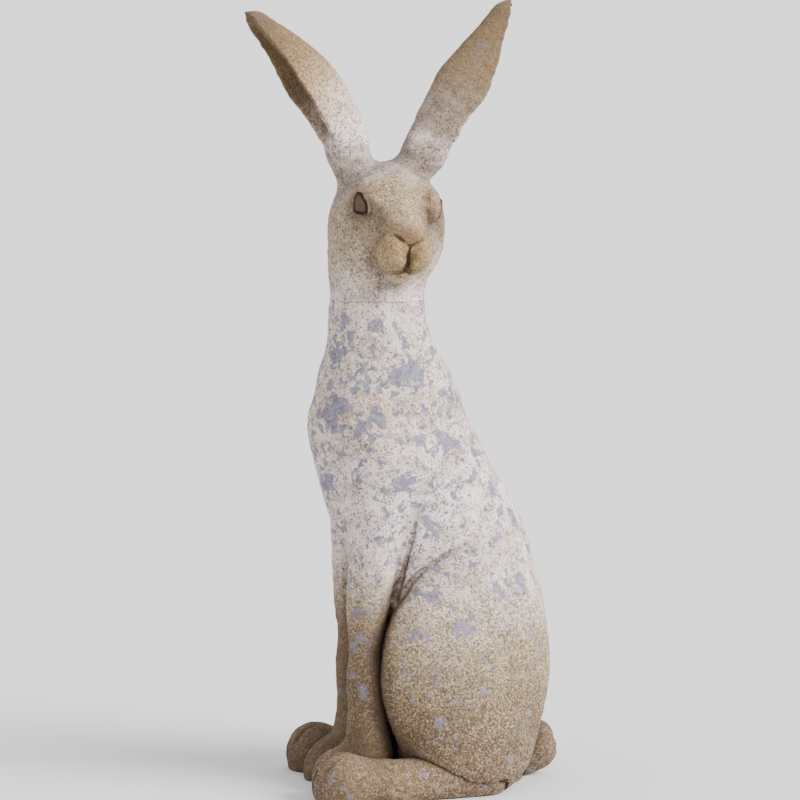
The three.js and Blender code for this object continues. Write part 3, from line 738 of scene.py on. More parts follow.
@dataclass(frozen=True)
class ForelegClay:
    """The left foreleg, from the shoulder to the paw."""

    line: Sequence = (
        (32, -22, 336, 36), (42, -33, 266, 30), (40.5, -37, 225, 25.5), (31, -39.5, 184, 22),
        (27, -42.3, 140, 17.9), (27, -39.5, 82, 20.8), (28, -38.8, 36, 24.8),
    )
    paw: Triple = (24, -62, 8)
    paw_radii: Triple = (19, 34, 36)
    paw_softness: float = 14
    elbow_softness: float = 2.5
    shoulder_softness: float = 32
    shoulder_heights: Sequence = (235, 330)
    toe_lines: Sequence = (18.5, 30.5)
    toe_width: float = 1.3
    toe_spread: float = 0.25
    toe_softness: float = 2.5
    crease: Sequence = (
        (70, 8, 302, 0.2), (68.2, 0, 275, 2.4), (63.5, -4.7, 249, 4.2), (54.7, -10.7, 218, 6.0),
        (41, -15.7, 191, 8.0),
    )
    crease_softness: float = 3
    valley: Sequence = ((0, -97, 312, 1), (0, -84, 278, 12), (0, -74, 240, 19), (0, -62, 205, 21))
    valley_softness: float = 5

    def soft(self, p: Points) -> Values:
        """How softly the leg runs into the breast, from the elbow up."""
        rise = smoothstep(p[..., 2], *self.shoulder_heights)
        return self.elbow_softness + (self.shoulder_softness - self.elbow_softness) * rise

    def mass(self) -> Mass:
        """The leg, with its toes parted.

        Returns:
            The leg of the left side.
        """
        leg = Laid(Limb(self.line), Ball(self.paw, self.paw_radii), self.paw_softness)
        for across in self.toe_lines:
            spread = (across - self.paw[0]) * self.toe_spread
            groove = Limb([
                (across - spread, -74, 41, 0.4), (across, -87, 31, self.toe_width),
                (across + spread, -96, 14, self.toe_width),
                (across + spread, -97, -4, self.toe_width),
            ])
            leg = Carved(leg, groove, self.toe_softness)
        return leg


@dataclass(frozen=True)
class HindFootClay:
    """The left hind foot."""

    line: Sequence = ((72, -74, 18, 23), (74, -20, 14, 25), (67, 70, 18, 26))
    ball: Triple = (72, -75, 14)
    ball_radii: Triple = (25, 29, 34)
    softness: float = 14
    toe_lines: Sequence = (61, 73, 85)
    toe_width: float = 1.4
    toe_spread: float = 0.2
    toe_softness: float = 2.6

    def mass(self) -> Mass:
        """The foot, with its toes parted.

        Returns:
            The foot of the left side.
        """
        foot = Laid(Limb(self.line), Ball(self.ball, self.ball_radii), self.softness)
        for across in self.toe_lines:
            spread = (across - self.ball[0]) * self.toe_spread
            groove = Limb([
                (across - spread, -72, 49, 0.4), (across, -86, 43, self.toe_width),
                (across + spread, -100, 27, self.toe_width),
                (across + spread, -105, 8, self.toe_width), (across + spread, -103, -6, 1.0),
            ])
            foot = Carved(foot, groove, self.toe_softness)
        return foot


@dataclass(frozen=True)
class TailClay:
    """The tail, tucked up behind the rump."""

    line: Sequence = ((0, 118, 16, 22), (0, 142.4, 26, 22.8), (0, 144, 38, 18))

    def mass(self) -> Mass:
        """The tail as it is before the rump is cut out of it."""
        return Limb(self.line)


@dataclass(frozen=True)
class HeadAxes:
    """The head's own axes: +X the way it looks, +Y to its left, +Z up."""

    centre: Triple = (12, -14.5, 572)
    turn: float = 95
    tilt: float = 4

    def turning(self) -> np.ndarray:
        """The matrix that turns a direction on the head into the figure's axes.

        Returns:
            The matrix: a turn about Z, after a tilt about X.
        """
        a, b = math.radians(self.turn - 90), math.radians(-self.tilt)
        about_z = np.array([[math.cos(a), -math.sin(a), 0],
                            [math.sin(a), math.cos(a), 0], [0, 0, 1]])
        about_x = np.array([[1, 0, 0], [0, math.cos(b), -math.sin(b)],
                            [0, math.sin(b), math.cos(b)]])
        return about_z @ about_x

    def out_of(self, p: Points) -> Points:
        """Places on the head, in the figure's axes."""
        return p @ self.turning().T + np.array(self.centre)

    def into(self, p: Points) -> Points:
        """Places of the figure, in the head's axes."""
        return (p - np.array(self.centre)) @ self.turning()


HEAD = HeadAxes()


@dataclass(frozen=True)
class OnHead(Mass):
    """A mass given in the head's axes."""

    mass: Mass

    def distance(self, p: Points) -> Values:
        """How far each point of the figure lies outside the mass."""
        return self.mass.distance(HEAD.into(p))


@dataclass(frozen=True)
class EarClay(Mass):
    """An ear: a scooped section carried along a bent line, and its root in the head.

    Each section has its share of the length and, measured outward from the line, its rims
    and the floor of its scoop, then its belly inward and its half width. Where the floor is
    farther out than the rims, the ear is whole there.
    """

    side: Side
    line: Sequence
    sections: Sequence = (
        (-0.2, 3, 21, 15, 17), (0, 3, 27, 21, 22.5), (0.1, 18, 19, 23, 22),
        (0.2, 20, 2, 25.5, 23.5), (0.35, 21, -11, 28, 25.5), (0.48, 21, -10, 27.5, 25),
        (0.67, 15.5, -4, 21, 19.5), (0.86, 10, 1.5, 13.5, 13.5),
        (0.94, 7, 4.5, 10.5, 11), (0.985, 4, 4.5, 6.5, 7.5), (1, 2.5, 4, 4, 4.5),
    )
    rim: float = 6.0
    round_rim: float = 2.4
    least_deep: float = 0.5
    steps: int = 26

    def middle(self) -> tuple[Points, Points, Values]:
        """The middle line, the way that it runs, and the share of its length, at each step.

        Returns:
            The places, the directions and the shares of the length.
        """
        a, b, c = (np.array(place, float) for place in self.line)
        split = length(b - a) ** 0.5 / (length(b - a) ** 0.5 + length(c - b) ** 0.5)
        knots = np.array([0, split, 1])
        t = np.linspace(0, 1, self.steps)[:, None]
        places = sum(
            place * np.prod([(t - other) / (knot - other) for other in knots if other != knot], 0)
            for place, knot in zip((a, b, c), knots))
        ways = np.gradient(places, axis=0, edge_order=2)
        ways /= length(ways)[:, None]
        run = np.concatenate([[0], np.cumsum(length(np.diff(places, axis=0)))])
        return places, ways, run / run[-1]

    def frames(self) -> tuple[Points, Points]:
        """The outward and the forward direction at each step.

        Returns:
            The two directions.
        """
        _, ways, _ = self.middle()
        outward = HEAD.turning() @ np.array([0, self.side.value, 0])
        out = outward - (ways @ outward)[:, None] * ways
        out /= length(out)[:, None]
        return out, np.cross(ways, out) * -self.side.value

    def follow(self, p: Points) -> tuple[Values, Points]:
        """Where along the line each point lies, and its place from there.

        Args:
            p: Points of the figure.

        Returns:
            The share of the length, and how far out, forward and along each point is.
        """
        places, ways, shares = self.middle()
        out, fore = self.frames()
        whole = length(np.diff(places, axis=0)).sum()
        best = np.full(p.shape[:-1], np.inf)
        step = np.zeros(p.shape[:-1])
        for n, (a, b) in enumerate(zip(places, places[1:])):
            along = b - a
            share = np.clip((p - a) @ along / (along @ along), 0, 1)
            away = ((p - a - share[..., None] * along) ** 2).sum(-1)
            closer = away < best
            best = np.where(closer, away, best)
            step = np.where(closer, n + share, step)
        low = np.minimum(step.astype(int), len(places) - 2)
        part = (step - low)[..., None]

        def bent(values: Points) -> Points:
            """Values given at the steps, at each point's place on the line."""
            return values[low] + part * (values[low + 1] - values[low])

        at = shares[low] + part[..., 0] * (shares[low + 1] - shares[low])
        q = p - bent(places)
        beyond = (q * bent(ways)).sum(-1)
        at = np.where(step <= 0, np.minimum(beyond, 0) / whole, at)
        root = self.sections[0][0] * whole
        along = np.where(step <= 0, np.maximum(root - beyond, 0),
                         np.where(step >= len(places) - 1, np.maximum(beyond, 0), 0))
        return at, np.stack([(q * bent(out)).sum(-1), (q * bent(fore)).sum(-1), along], -1)

    def distance(self, p: Points) -> Values:
        """How far each point lies outside the ear.

        Args:
            p: The points.

        Returns:
            The distances.
        """
        at, place = self.follow(p)
        o, f, past = place[..., 0], place[..., 1], place[..., 2]
        table = smooth_line(self.sections)
        rims, floor, belly, half = (np.interp(at, table[:, 0], table[:, n]) for n in (1, 2, 3, 4))
        back = oval(o - rims, f, rims + belly, half)
        scoop = oval(o - rims, f, np.maximum(np.abs(floor - rims), self.least_deep),
                     np.maximum(half - self.rim, half / 2))
        scooped = both(both(back, o - rims, self.round_rim), -scoop, self.round_rim)
        dome = oval(o - rims, f, np.maximum(floor - rims, self.least_deep), half)
        domed = np.where(o > rims, dome, back)
        shape = np.where(floor > rims, domed, scooped)
        rounded_end = np.hypot(np.maximum(shape, 0), past) + np.minimum(shape, 0)
        return np.where(past > 0, rounded_end, shape)


EARS = {
    Side.LEFT: EarClay(Side.LEFT, ((2, 22, 636), (-5, 61.5, 695), (-18, 115.5, 784))),
    Side.RIGHT: EarClay(Side.RIGHT, ((2, -51.5, 637), (-5, -81, 694), (-18, -148, 768.5))),
}


@dataclass(frozen=True)
class EyeOpening:
    """The outline of an eye, in its own plane: towards the nose, and up."""

    places: Sequence = (
        (8.4, -2), (8.8, -7.2), (6.8, -9.4), (0, -9.4), (-6.3, -9.0), (-8.4, -6.5), (-8.4, 0),
        (-7.2, 6.5), (-4.2, 10.4), (0.2, 9.4), (5.2, 4.6),
    )

    def reach(self, turn: Values) -> Values:
        """How far the outline is from the eye's middle, at each angle.

        Args:
            turn: The angles.

        Returns:
            The distance to the outline at each.
        """
        steps, spare = 12, 2
        ring = smooth_line([*self.places[-spare:], *self.places, *self.places[:spare]], steps)
        ring = ring[spare * steps:-spare * steps]
        turns = np.unwrap(np.arctan2(ring[:, 1], ring[:, 0]))
        rising = slice(None, None, -1 if turns[0] > turns[-1] else 1)
        return np.interp(turn, turns[rising], length(ring)[rising], period=2 * math.pi)

    def outside(self, u: Values, v: Values) -> Values:
        """How far places in the plane lie outside the outline."""
        return np.hypot(u, v) - self.reach(np.arctan2(v, u))


@dataclass(frozen=True)
class EyeSetting:
    """Where an eye sits: its middle on the skin, and its own three directions."""

    side: Side
    height: float = 8
    turn: float = 45
    back: float = 6
    sideways: float = 16
    slope_reach: float = 4.0
    dish: float = 22.0
    dish_depth: float = 3.4

    def place(self, skin: Mass) -> tuple[Points, np.ndarray]:
        """The middle of the eye on the skin, and the ways to the nose, up and out.

        Args:
            skin: The mass that the eye is set in.

        Returns:
            The place, and the three directions as rows.
        """
        a = math.radians(self.turn)
        look = np.array([math.sin(a), self.side.value * math.cos(a), 0])
        start = HEAD.out_of(np.array([-self.back, 0, self.height]) + OUTSIDE * look)
        place = marched(skin, start[None], -HEAD.turning() @ look)[0]
        out = skin.slope(place[None], self.slope_reach)[0]
        out /= length(out)
        up = HEAD.turning() @ np.array([0, 0, 1])
        b = math.radians(self.sideways) * self.side.value
        out = (math.cos(b) * out + math.sin(b) * np.cross(up, out)
               + (1 - math.cos(b)) * (up @ out) * up)
        nose = np.cross(up, out) * self.side.value * -1
        nose /= length(nose)
        rise = np.cross(out, nose)
        return place, np.stack([nose, rise * np.sign(rise @ up), out])


@dataclass(frozen=True)
class AtEye(Mass):
    """A mass at an eye, given by its opening, its middle and its own three directions."""

    opening: EyeOpening
    place: Triple
    ways: Sequence

    def local(self, p: Points) -> Points:
        """How far each point is towards the nose, up and out from the eye's middle."""
        return np.moveaxis((p - np.array(self.place)) @ np.array(self.ways).T, -1, 0)


@dataclass(frozen=True)
class Lid(AtEye):
    """The raised rim of an eye."""

    width: float = 1.0
    gap: float = 0.4
    sunk: float = 3.6
    steepness: float = 0.8

    def distance(self, p: Points) -> Values:
        """How far each point lies outside the rim.

        Args:
            p: The points.

        Returns:
            The distances.
        """
        u, v, w = self.local(p)
        across = self.opening.outside(u, v) - self.width - self.gap
        return np.hypot(across, (w + self.sunk) * self.steepness) - self.width


@dataclass(frozen=True)
class EyeWell(AtEye):
    """The well that a bead sits in."""

    clearance: float = 0.3
    depth: float = 5.0

    def distance(self, p: Points) -> Values:
        """How far each point lies outside the well."""
        u, v, w = self.local(p)
        return np.maximum(self.opening.outside(u, v) - self.clearance, -w - self.depth)


def marched(skin: Mass, start: Points, way: Points, steps: int = 60,
            stride: float = 0.7) -> Points:
    """Where lines from outside a mass meet its skin.

    Args:
        skin: The mass.
        start: Where each line starts.
        way: The direction of the lines.
        steps: How many strides are taken.
        stride: How long each is, as a share of the distance to the mass.

    Returns:
        The place on the skin for each line.
    """
    place = start.copy()
    for _ in range(steps):
        place += stride * skin.distance(place)[:, None] * way
    return place


@dataclass(frozen=True)
class SkullClay:
    """The skull, in the head's axes, and the fine work on the face."""

    cranium: Ball = Ball((-4, 0, 2), (56, 47, 50))
    cheek: Ball = Ball((3, 23, -26), (42, 33, 38))
    muzzle: Ball = Ball((39, 0, -29), (34, 22.5, 28))
    bridge: Limb = Limb(((26, 0, 8, 26), (60, 0, -18, 15)))
    chin: Ball = Ball((48, 0, -56.5), (20, 15, 10))
    pad: Ball = Ball((57.5, 13, -36), (21.5, 15.2, 20.5))
    lip: Ball = Ball((58, 7.5, -45), (18, 9, 11.5))
    nose: Ball = Ball((69, 0, -20), (11, 13, 10))
    orbit: Ball = Ball((19, 31, 6), (25, 15, 23))
    tear_hollow: Ball = Ball((50, 43, -8), (16, 12, 14))
    far_lid: Ball = Ball((44, 30, 10), (9, 9.5, 15))
    nape: Ball = Ball((-2, -24, 554), (45, 45.5, 64))
    clefts: Sequence = (
        ((13, -21), (7.5, -25), (0, -30)), ((-16, -19), (-9, -24), (0, -30)),
        ((0, -29), (0, -40), (0, -51.5)),
        ((-16, -55), (-9, -56.3), (0, -52.5), (6, -56), (10, -56)),
    )
    hollow_softness: float = 14
    nape_softness: float = 18
    ear_softness: float = 12
    heights: Sequence = (440, 690)
    ear_heights: Sequence = (585, 900)
    cleft_width: float = 0.25
    cleft_depths: Sequence = (-1.2, 0.2, 1.6)
    cleft_bottom: float = 9

    def face(self) -> Mass:
        """The skull with its cheeks, muzzle and brows.

        Returns:
            The skull, in the figure's axes.
        """
        laid_on_softly = [
            (BothSides(self.cheek, 1), 24), (self.muzzle, 16), (self.bridge, 14), (self.chin, 8),
            (BothSides(self.pad, 1), 3.5), (BothSides(self.lip, 1), 3),
            (self.nose, 3), (BothSides(self.orbit, 1), 18),
        ]
        mass = self.cranium
        for added, softness in laid_on_softly:
            mass = Laid(mass, added, softness)
        return OnHead(Carved(mass, BothSides(self.tear_hollow, 1), self.hollow_softness))

    def mass(self) -> Mass:
        """The head with the nape and both ears.

        Returns:
            The head.
        """
        head = Between(Laid(self.nape, self.face(), self.nape_softness), *self.heights)
        for ear in EARS.values():
            head = Laid(head, Between(ear, *self.ear_heights), self.ear_softness)
        return head

    def cleft_lines(self, skin: Mass) -> list[Limb]:
        """The clefts of the nose and mouth, as thin limbs that follow the skin at each depth.

        Args:
            skin: The mass that they are cut into.

        Returns:
            The limbs.
        """
        inward = HEAD.turning() @ np.array([-1.0, 0, 0])
        lines: list[Limb] = []
        for places in self.clefts:
            drawn = smooth_line(places, steps=5)
            start = HEAD.out_of(np.column_stack([np.full(len(drawn), OUTSIDE), drawn]))
            ends = np.linspace(-1, 1, len(drawn))
            width = self.cleft_width * np.sqrt(np.maximum(1.05 - np.abs(ends) ** 4, 0.1))
            on_skin = marched(skin, start, inward)
            lines += [Limb(np.column_stack([on_skin + depth * inward,
                                            width * (1 - depth / self.cleft_bottom)]))
                      for depth in self.cleft_depths]
        return lines


class Figure:
    """All the clay of the hare."""

    TORSO_HEIGHTS = (-50, 640)
    HEAD_HEIGHTS = (440, 900)
    NECK_SOFTNESS = 20
    DISH_SOFTNESS = 5.0
    LID_SOFTNESS = 1.8
    WELL_SOFTNESS = 0.5
    FAR_LID_SOFTNESS = 5
    CLEFT_SOFTNESS = 1.3
    FACE_MIDDLE = (28.0, 0, -14)
    FACE_REACH = 78
    TOUCHING = 1.0

    def __init__(self) -> None:
        """Lays the masses together and works the face."""
        skull = SkullClay()
        self.core = TrunkClay().mass()
        self.foreleg = ForelegClay().mass()
        self.hind_foot = HindFootClay().mass()
        self.tail = TailClay().mass()
        self.head = Between(skull.mass(), *self.HEAD_HEIGHTS)
        torso = self.shouldered(BothSides(self.foreleg))
        plain = Laid(Between(torso, *self.TORSO_HEIGHTS), self.head, self.NECK_SOFTNESS)
        self.opening = EyeOpening()
        self.eyes = {side: EyeSetting(side).place(plain) for side in Side}
        clefts = skull.cleft_lines(plain)
        fine = plain
        for place, ways in self.eyes.values():
            dish = place + ways[2] * (EyeSetting.dish - EyeSetting.dish_depth)
            fine = Carved(fine, Ball(tuple(dish), (EyeSetting.dish,) * 3), self.DISH_SOFTNESS)
            fine = Laid(fine, Lid(self.opening, place, ways), self.LID_SOFTNESS)
            fine = Carved(fine, EyeWell(self.opening, place, ways), self.WELL_SOFTNESS)
        fine = Laid(fine, OnHead(skull.far_lid), self.FAR_LID_SOFTNESS)
        for cleft in clefts:
            fine = Carved(fine, cleft, self.CLEFT_SOFTNESS)
        middle = tuple(HEAD.out_of(np.array(self.FACE_MIDDLE)))
        self.whole = HandWork(Worked(plain, fine, middle, self.FACE_REACH))
        footed = Laid(self.whole, BothSides(self.hind_foot), self.TOUCHING)
        self.all = Laid(footed, self.tail, self.TOUCHING)

    def shouldered(self, legs: Mass) -> Mass:
        """The trunk with forelegs run into the breast, and creased round them.

        Args:
            legs: Both forelegs.

        Returns:
            The trunk and the legs.
        """
        clay = ForelegClay()
        torso = Carved(Laid(self.core, legs, clay.soft), Limb(clay.valley), clay.valley_softness)
        return creased(torso, clay.crease, clay.crease_softness)


# Work on meshes in Blender


def only(piece: bpy.types.Object) -> None:
    """Selects one piece and nothing else, so that operators act on it alone.

    Args:
        piece: The piece.
    """
    bpy.ops.object.select_all(action="DESELECT")
    piece.select_set(True)
    bpy.context.view_layer.objects.active = piece


def meshed(name: str, points: Points, faces: np.ndarray) -> bpy.types.Object:
    """A new piece from points and faces.

    Args:
        name: The name of the piece.
        points: Its points, on the figure.
        faces: The four points of each face.

    Returns:
        The piece.
    """
    mesh = bpy.data.meshes.new(name)
    mesh.from_pydata(to_frame(points).tolist(), [], faces.tolist())
    piece = bpy.data.objects.new(name, mesh)
    bpy.context.scene.collection.objects.link(piece)
    return piece


def saw(piece: bpy.types.Object, place: Sequence[float], away: Sequence[float]) -> None:
    """Saws a piece along a plane, drops what lies beyond it and closes the cut.

    Args:
        piece: The piece.
        place: A place on the plane, on the figure.
        away: The direction of what is dropped.
    """
    only(piece)
    bpy.ops.object.mode_set(mode="EDIT")
    bpy.ops.mesh.select_all(action="SELECT")
    bpy.ops.mesh.bisect(plane_co=to_frame(np.array(place, float)), plane_no=away,
                        use_fill=True, clear_outer=True)
    bpy.ops.object.mode_set(mode="OBJECT")


def close_pinches(piece: bpy.types.Object, tries: int = 4) -> None:
    """Opens a skin up wherever it touches itself along an edge, and closes it cleanly.

    Args:
        piece: The piece.
        tries: How many times it is looked over.
    """
    only(piece)
    bpy.ops.object.mode_set(mode="EDIT")
    bpy.ops.mesh.select_mode(type="VERT")
    for _ in range(tries):
        bpy.ops.mesh.select_all(action="DESELECT")
        bpy.ops.mesh.select_non_manifold()
        bpy.ops.mesh.delete(type="VERT")
        bpy.ops.mesh.select_all(action="SELECT")
        bpy.ops.mesh.fill_holes(sides=0)
    bpy.ops.object.mode_set(mode="OBJECT")


def cut_away(piece: bpy.types.Object, cutter: bpy.types.Object) -> None:
    """Cuts one closed piece out of another, and throws the cutter away.

    Args:
        piece: The piece that is cut.
        cutter: The piece that is cut out of it.
    """
    only(piece)
    cut = piece.modifiers.new("cut", "BOOLEAN")
    cut.operation, cut.solver, cut.object = "DIFFERENCE", "MANIFOLD", cutter
    bpy.ops.object.modifier_apply(modifier=cut.name)
    bpy.data.objects.remove(cutter)


def largest_only(piece: bpy.types.Object) -> bpy.types.Object:
    """Drops every loose chip of a piece, so that one closed body is left.

    Args:
        piece: The piece, which may itself become one of the chips.

    Returns:
        The body, under the name of the piece.
    """
    name = piece.name
    only(piece)
    bpy.ops.mesh.separate(type="LOOSE")
    parts = sorted(bpy.context.selected_objects, key=lambda part: len(part.data.vertices))
    kept = parts.pop()
    for chip in parts:
        bpy.data.objects.remove(chip)
    kept.name = name
    return kept


def coordinates(piece: bpy.types.Object, what: str = "vertices", which: str = "co") -> Points:
    """The places, or another three-part value, of a piece's vertices.

    Args:
        piece: The piece.
        what: What has the values.
        which: Their name there.

    Returns:
        The values, a row for each vertex.
    """
    held = getattr(piece.data, what)
    values = np.zeros(len(held) * 3)
    held.foreach_get(which, values)
    return values.reshape(-1, 3)


def record(piece: bpy.types.Object, name: str, values: Values) -> None:
    """Keeps one number for each vertex of a piece, for its material to read."""
    kept = piece.data.attributes.new(name, "FLOAT", "POINT")
    kept.data.foreach_set("value", values.astype(np.float32))


def modelled(name: str, mass: Mass, low: Sequence[float], high: Sequence[float],
             cell: float) -> bpy.types.Object:
    """A piece with the skin of a mass, kept inside the box of the CAD model.

    Args:
        name: The name of the piece.
        mass: The mass.
        low: The lowest corner of a box round it.
        high: The highest corner of the box.
        cell: How fine the skin is.

    Returns:
        The piece.
    """
    cell *= COARSER
    points, faces = skinned(mass, low, high, cell)
    for _ in range(2):
        points = settled(mass, relaxed(points, faces), stride=cell / 2, passes=1)
    points = np.clip(points, *to_figure(np.array(CAD_BOX)))
    piece = meshed(name, points, faces)
    close_pinches(piece)
    return piece


# Weather and painted shade


@dataclass(frozen=True)
class Weather:
    """How worn and how dirty the finish is from place to place, and how much shade is painted on
    it.

    Tables have a height, or a share of an ear's length, and a value there. What is near a
    place on the head has the place, its reach in each direction and how crisply it ends.
    """

    heights: Sequence = (0, 40, 90, 150, 220, 300, 380, 487, 560, 620)
    worn_at: Sequence = (1.15, 1.2, 1.15, 0.88, 0.28, 0.08, 0.45, 0.3, 0.85, 0.75)
    scabby_at: Sequence = (0.6, 0.4, 0.5, 0.7, 0.9, 0.9, 1.25, 1.1, 0.1, 0.3)
    low_at: Sequence = ((0, 1), (60, 1), (130, 0.55), (230, 0))
    # How strong the painted crease shade is at each height: weaker near the floor.
    crease_shade_at: Sequence = ((15, 0.45), (90, 1))
    reaches: Sequence = (1.8, 5.0, 14.0)
    wide_reach: float = 34.0
    leg_front: Sequence = (14, 34)
    ear_reach: Sequence = (34, 50)
    eye_reach: float = 14
    ear_worn: Sequence = ((0, -0.5), (0.25, -0.35), (0.5, 0.35), (0.8, 0.8), (1, 1.0))
    ear_ochre: Sequence = ((0.25, 0), (0.5, 0.55), (0.8, 0.75), (1, 0.3))
    ear_tip_darkening: Sequence = ((0.3, 0), (0.45, 0.45), (0.7, 0.85), (0.88, 1.1), (1, 1.5))
    ear_low: Sequence = ((0.45, 0), (0.75, 0.75), (0.9, 1.0), (1, 1.3))
    ear_unscabbed: Sequence = ((0, 0), (0.2, 1))
    # Painted shade along the left ear, and in the right ear's scoop.
    left_ear_shade: Sequence = ((0, 0.3), (0.25, 1.3))
    scoop_shade: Sequence = ((0.1, 0.3), (0.3, 1.1), (0.8, 0.5))
    worn_muzzle: Sequence = ((58, 0, -34), (26, 27, 26), 3)
    worn_brows: Sequence = ((40, 0, 16), (30, 46, 26), 2)
    ochre_muzzle: Sequence = ((66, 0, -35), (25, 35, 28), 4)
    ochre_brow: Triple = (34, 32, 20)
    brow_reach: float = 17
    clean_face: Sequence = ((35, 0, -25), (60, 56, 62), 6)
    red_nose: Sequence = ((78, 0, -17), (12, 11, 9), 3)

    def leg(self, p: Points, low: float, high: float) -> Values:
        """How far each place is on a foreleg, fading out between two heights."""
        return smoothstep(-p[..., 1], *self.leg_front) * (1 - smoothstep(p[..., 2], low, high))

    def ear(self, p: Points, side: Side, table: Sequence[Sequence[float]]) -> Values:
        """A value that runs along an ear, from a table, and is 0 elsewhere."""
        at, place = EARS[side].follow(p)
        return (1 - smoothstep(length(place), *self.ear_reach)) * np.interp(at, *zip(*table))

    def ears(self, p: Points, table: Sequence[Sequence[float]]) -> Values:
        """A value that runs along both ears, from a table, and is 0 elsewhere."""
        return sum(self.ear(p, side, table) for side in Side)

    def near(self, p: Points, place: Triple, reach: Triple, crisp: float) -> Values:
        """How near each point is to a place on the head, from 1 there down to 0."""
        return np.exp(-length((HEAD.into(p) - place) / reach) ** crisp)

    def worn(self, p: Points) -> Values:
        """How far the wash has worn off the sand, from 0 to 1.2.

        Args:
            p: Points on the figure.

        Returns:
            The value at each.
        """
        worn = np.interp(p[..., 2], self.heights, self.worn_at) + 0.5 * self.leg(p, 125, 245)
        worn = worn + 0.7 * self.near(p, *self.worn_muzzle) + 0.3 * self.near(p, *self.worn_brows)
        return np.clip(worn + self.ears(p, self.ear_worn), 0, 1.2)

    def ochre(self, p: Points) -> Values:
        """How strongly the muzzle, the brows and the ears are stained ochre, from 0 to 1.

        Args:
            p: Points on the figure.

        Returns:
            The value at each.
        """
        brows = BothSides(Ball(self.ochre_brow, (1, 1, 1)), 1)
        near = np.exp(-((brows.distance(HEAD.into(p)) + 1) / self.brow_reach) ** 2)
        muzzle = self.near(p, *self.ochre_muzzle)
        return np.clip(1.1 * muzzle + 0.6 * near + self.ears(p, self.ear_ochre), 0, 1)

    def low(self, p: Points) -> Values:
        """How far browner sand shows, low on the figure and its forelegs and high on its ears.

        Args:
            p: Points on the figure.

        Returns:
            The value at each, from 0 to 1.
        """
        low = np.interp(p[..., 2], *zip(*self.low_at)) + 0.5 * self.leg(p, 95, 225)
        return np.clip(low + self.ears(p, self.ear_low), 0, 1)

    def scabby(self, p: Points) -> Values:
        """How many slate scabs there are: as many as the height has, but few on the ears and
        none on the face.

        Args:
            p: Points on the figure.

        Returns:
            The value at each.
        """
        scabby = np.interp(p[..., 2], self.heights, self.scabby_at)
        return scabby - 3 * self.near(p, *self.clean_face) - 0.6 * self.ears(p, self.ear_unscabbed)

    def openness(self, figure: Figure, p: Points, normals: Points, reach: float) -> Values:
        """How open the space is at a distance in front of each point, from 0 to 1."""
        return np.clip(by_the_crew(figure.all.distance, p + reach * normals) / reach, 0, 1)

    def shelter(self, figure: Figure, p: Points, normals: Points) -> Values:
        """How deep each place lies in a crease, from 0 to 1, which sets how much shade is painted
        there.

        Args:
            figure: The figure.
            p: Points on it.
            normals: The direction outward at each.

        Returns:
            The value at each.
        """
        hidden = sum(1 - self.openness(figure, p, normals, reach) for reach in self.reaches)
        share = np.interp(p[..., 2], *zip(*self.crease_shade_at))
        return np.clip(share * hidden / len(self.reaches), 0, 1)

    def ear_shade_and_darkening(self, p: Points, normals: Points) -> Values:
        """How much darker the ears are painted: darker towards their tips, with painted shade over
        the left one, most on its inner half, and in the scoop of the right one.

        Args:
            p: Points on the figure.
            normals: The direction outward at each.

        Returns:
            The value at each, and 0 elsewhere.
        """
        outward = normals @ HEAD.turning() @ np.array([0, 1, 0])
        inside = 1 - smoothstep(outward, -0.3, 0.5)
        # Painted shade over the left ear, most on its inner side.
        dirt_and_shade = self.ear(p, Side.LEFT, self.left_ear_shade) * (0.35 + inside)
        # Darker towards the tips of both ears.
        dirt_and_shade = dirt_and_shade + self.ears(p, self.ear_tip_darkening)
        # Painted shade in the scoop of the right ear.
        scoop = smoothstep(-outward, 0.35, 0.9)
        return dirt_and_shade + self.ear(p, Side.RIGHT, self.scoop_shade) * scoop

    def grime(self, figure: Figure, p: Points, normals: Points) -> Values:
        """How much darker each place is painted: painted shade where something faces it, round the
        eyes and on the shaded fronts of the forelegs, a painted shadow of the left foreleg on the
        right one, and darker on the ears and on the head.

        Args:
            figure: The figure.
            p: Points on it.
            normals: The direction outward at each.

        Returns:
            The value at each, from 0 up.
        """
        # Painted shade where other parts of the figure face a place.
        faced = 1 - self.openness(figure, p, normals, self.wide_reach)
        # Painted shade round the eyes, in their dishes.
        eyes = sum(np.exp(-(length(p - place) / self.eye_reach) ** 2)
                   for place, _ in figure.eyes.values())
        # Painted shade on the fronts of the forelegs, more on the right one as a painted shadow of
        # the left.
        legs = self.leg(p, 150, 260) * (0.55 + 0.4 * smoothstep(-p[..., 0], -4, 8))
        # Darker over the head.
        head = smoothstep(p[..., 2], 500, 540) * (1 - smoothstep(p[..., 2], 625, 655))
        return faced + eyes + legs + self.ear_shade_and_darkening(p, normals) + 0.55 * head

    def put_on(self, figure: Figure, piece: bpy.types.Object) -> None:
        """Records the weather and the painted shade on a piece.

        Args:
            figure: The figure that the piece is part of.
            piece: The piece.
        """
        p = to_figure(coordinates(piece))
        normals = coordinates(piece, "vertex_normals", "vector")
        record(piece, "worn", self.worn(p))
        record(piece, "low", self.low(p))
        record(piece, "scabby", self.scabby(p))
        record(piece, "ochre", self.ochre(p))
        record(piece, "nose", self.near(p, *self.red_nose))
        record(piece, "shelter", self.shelter(figure, p, normals))
        record(piece, "grime", self.grime(figure, p, normals))


# Shaders


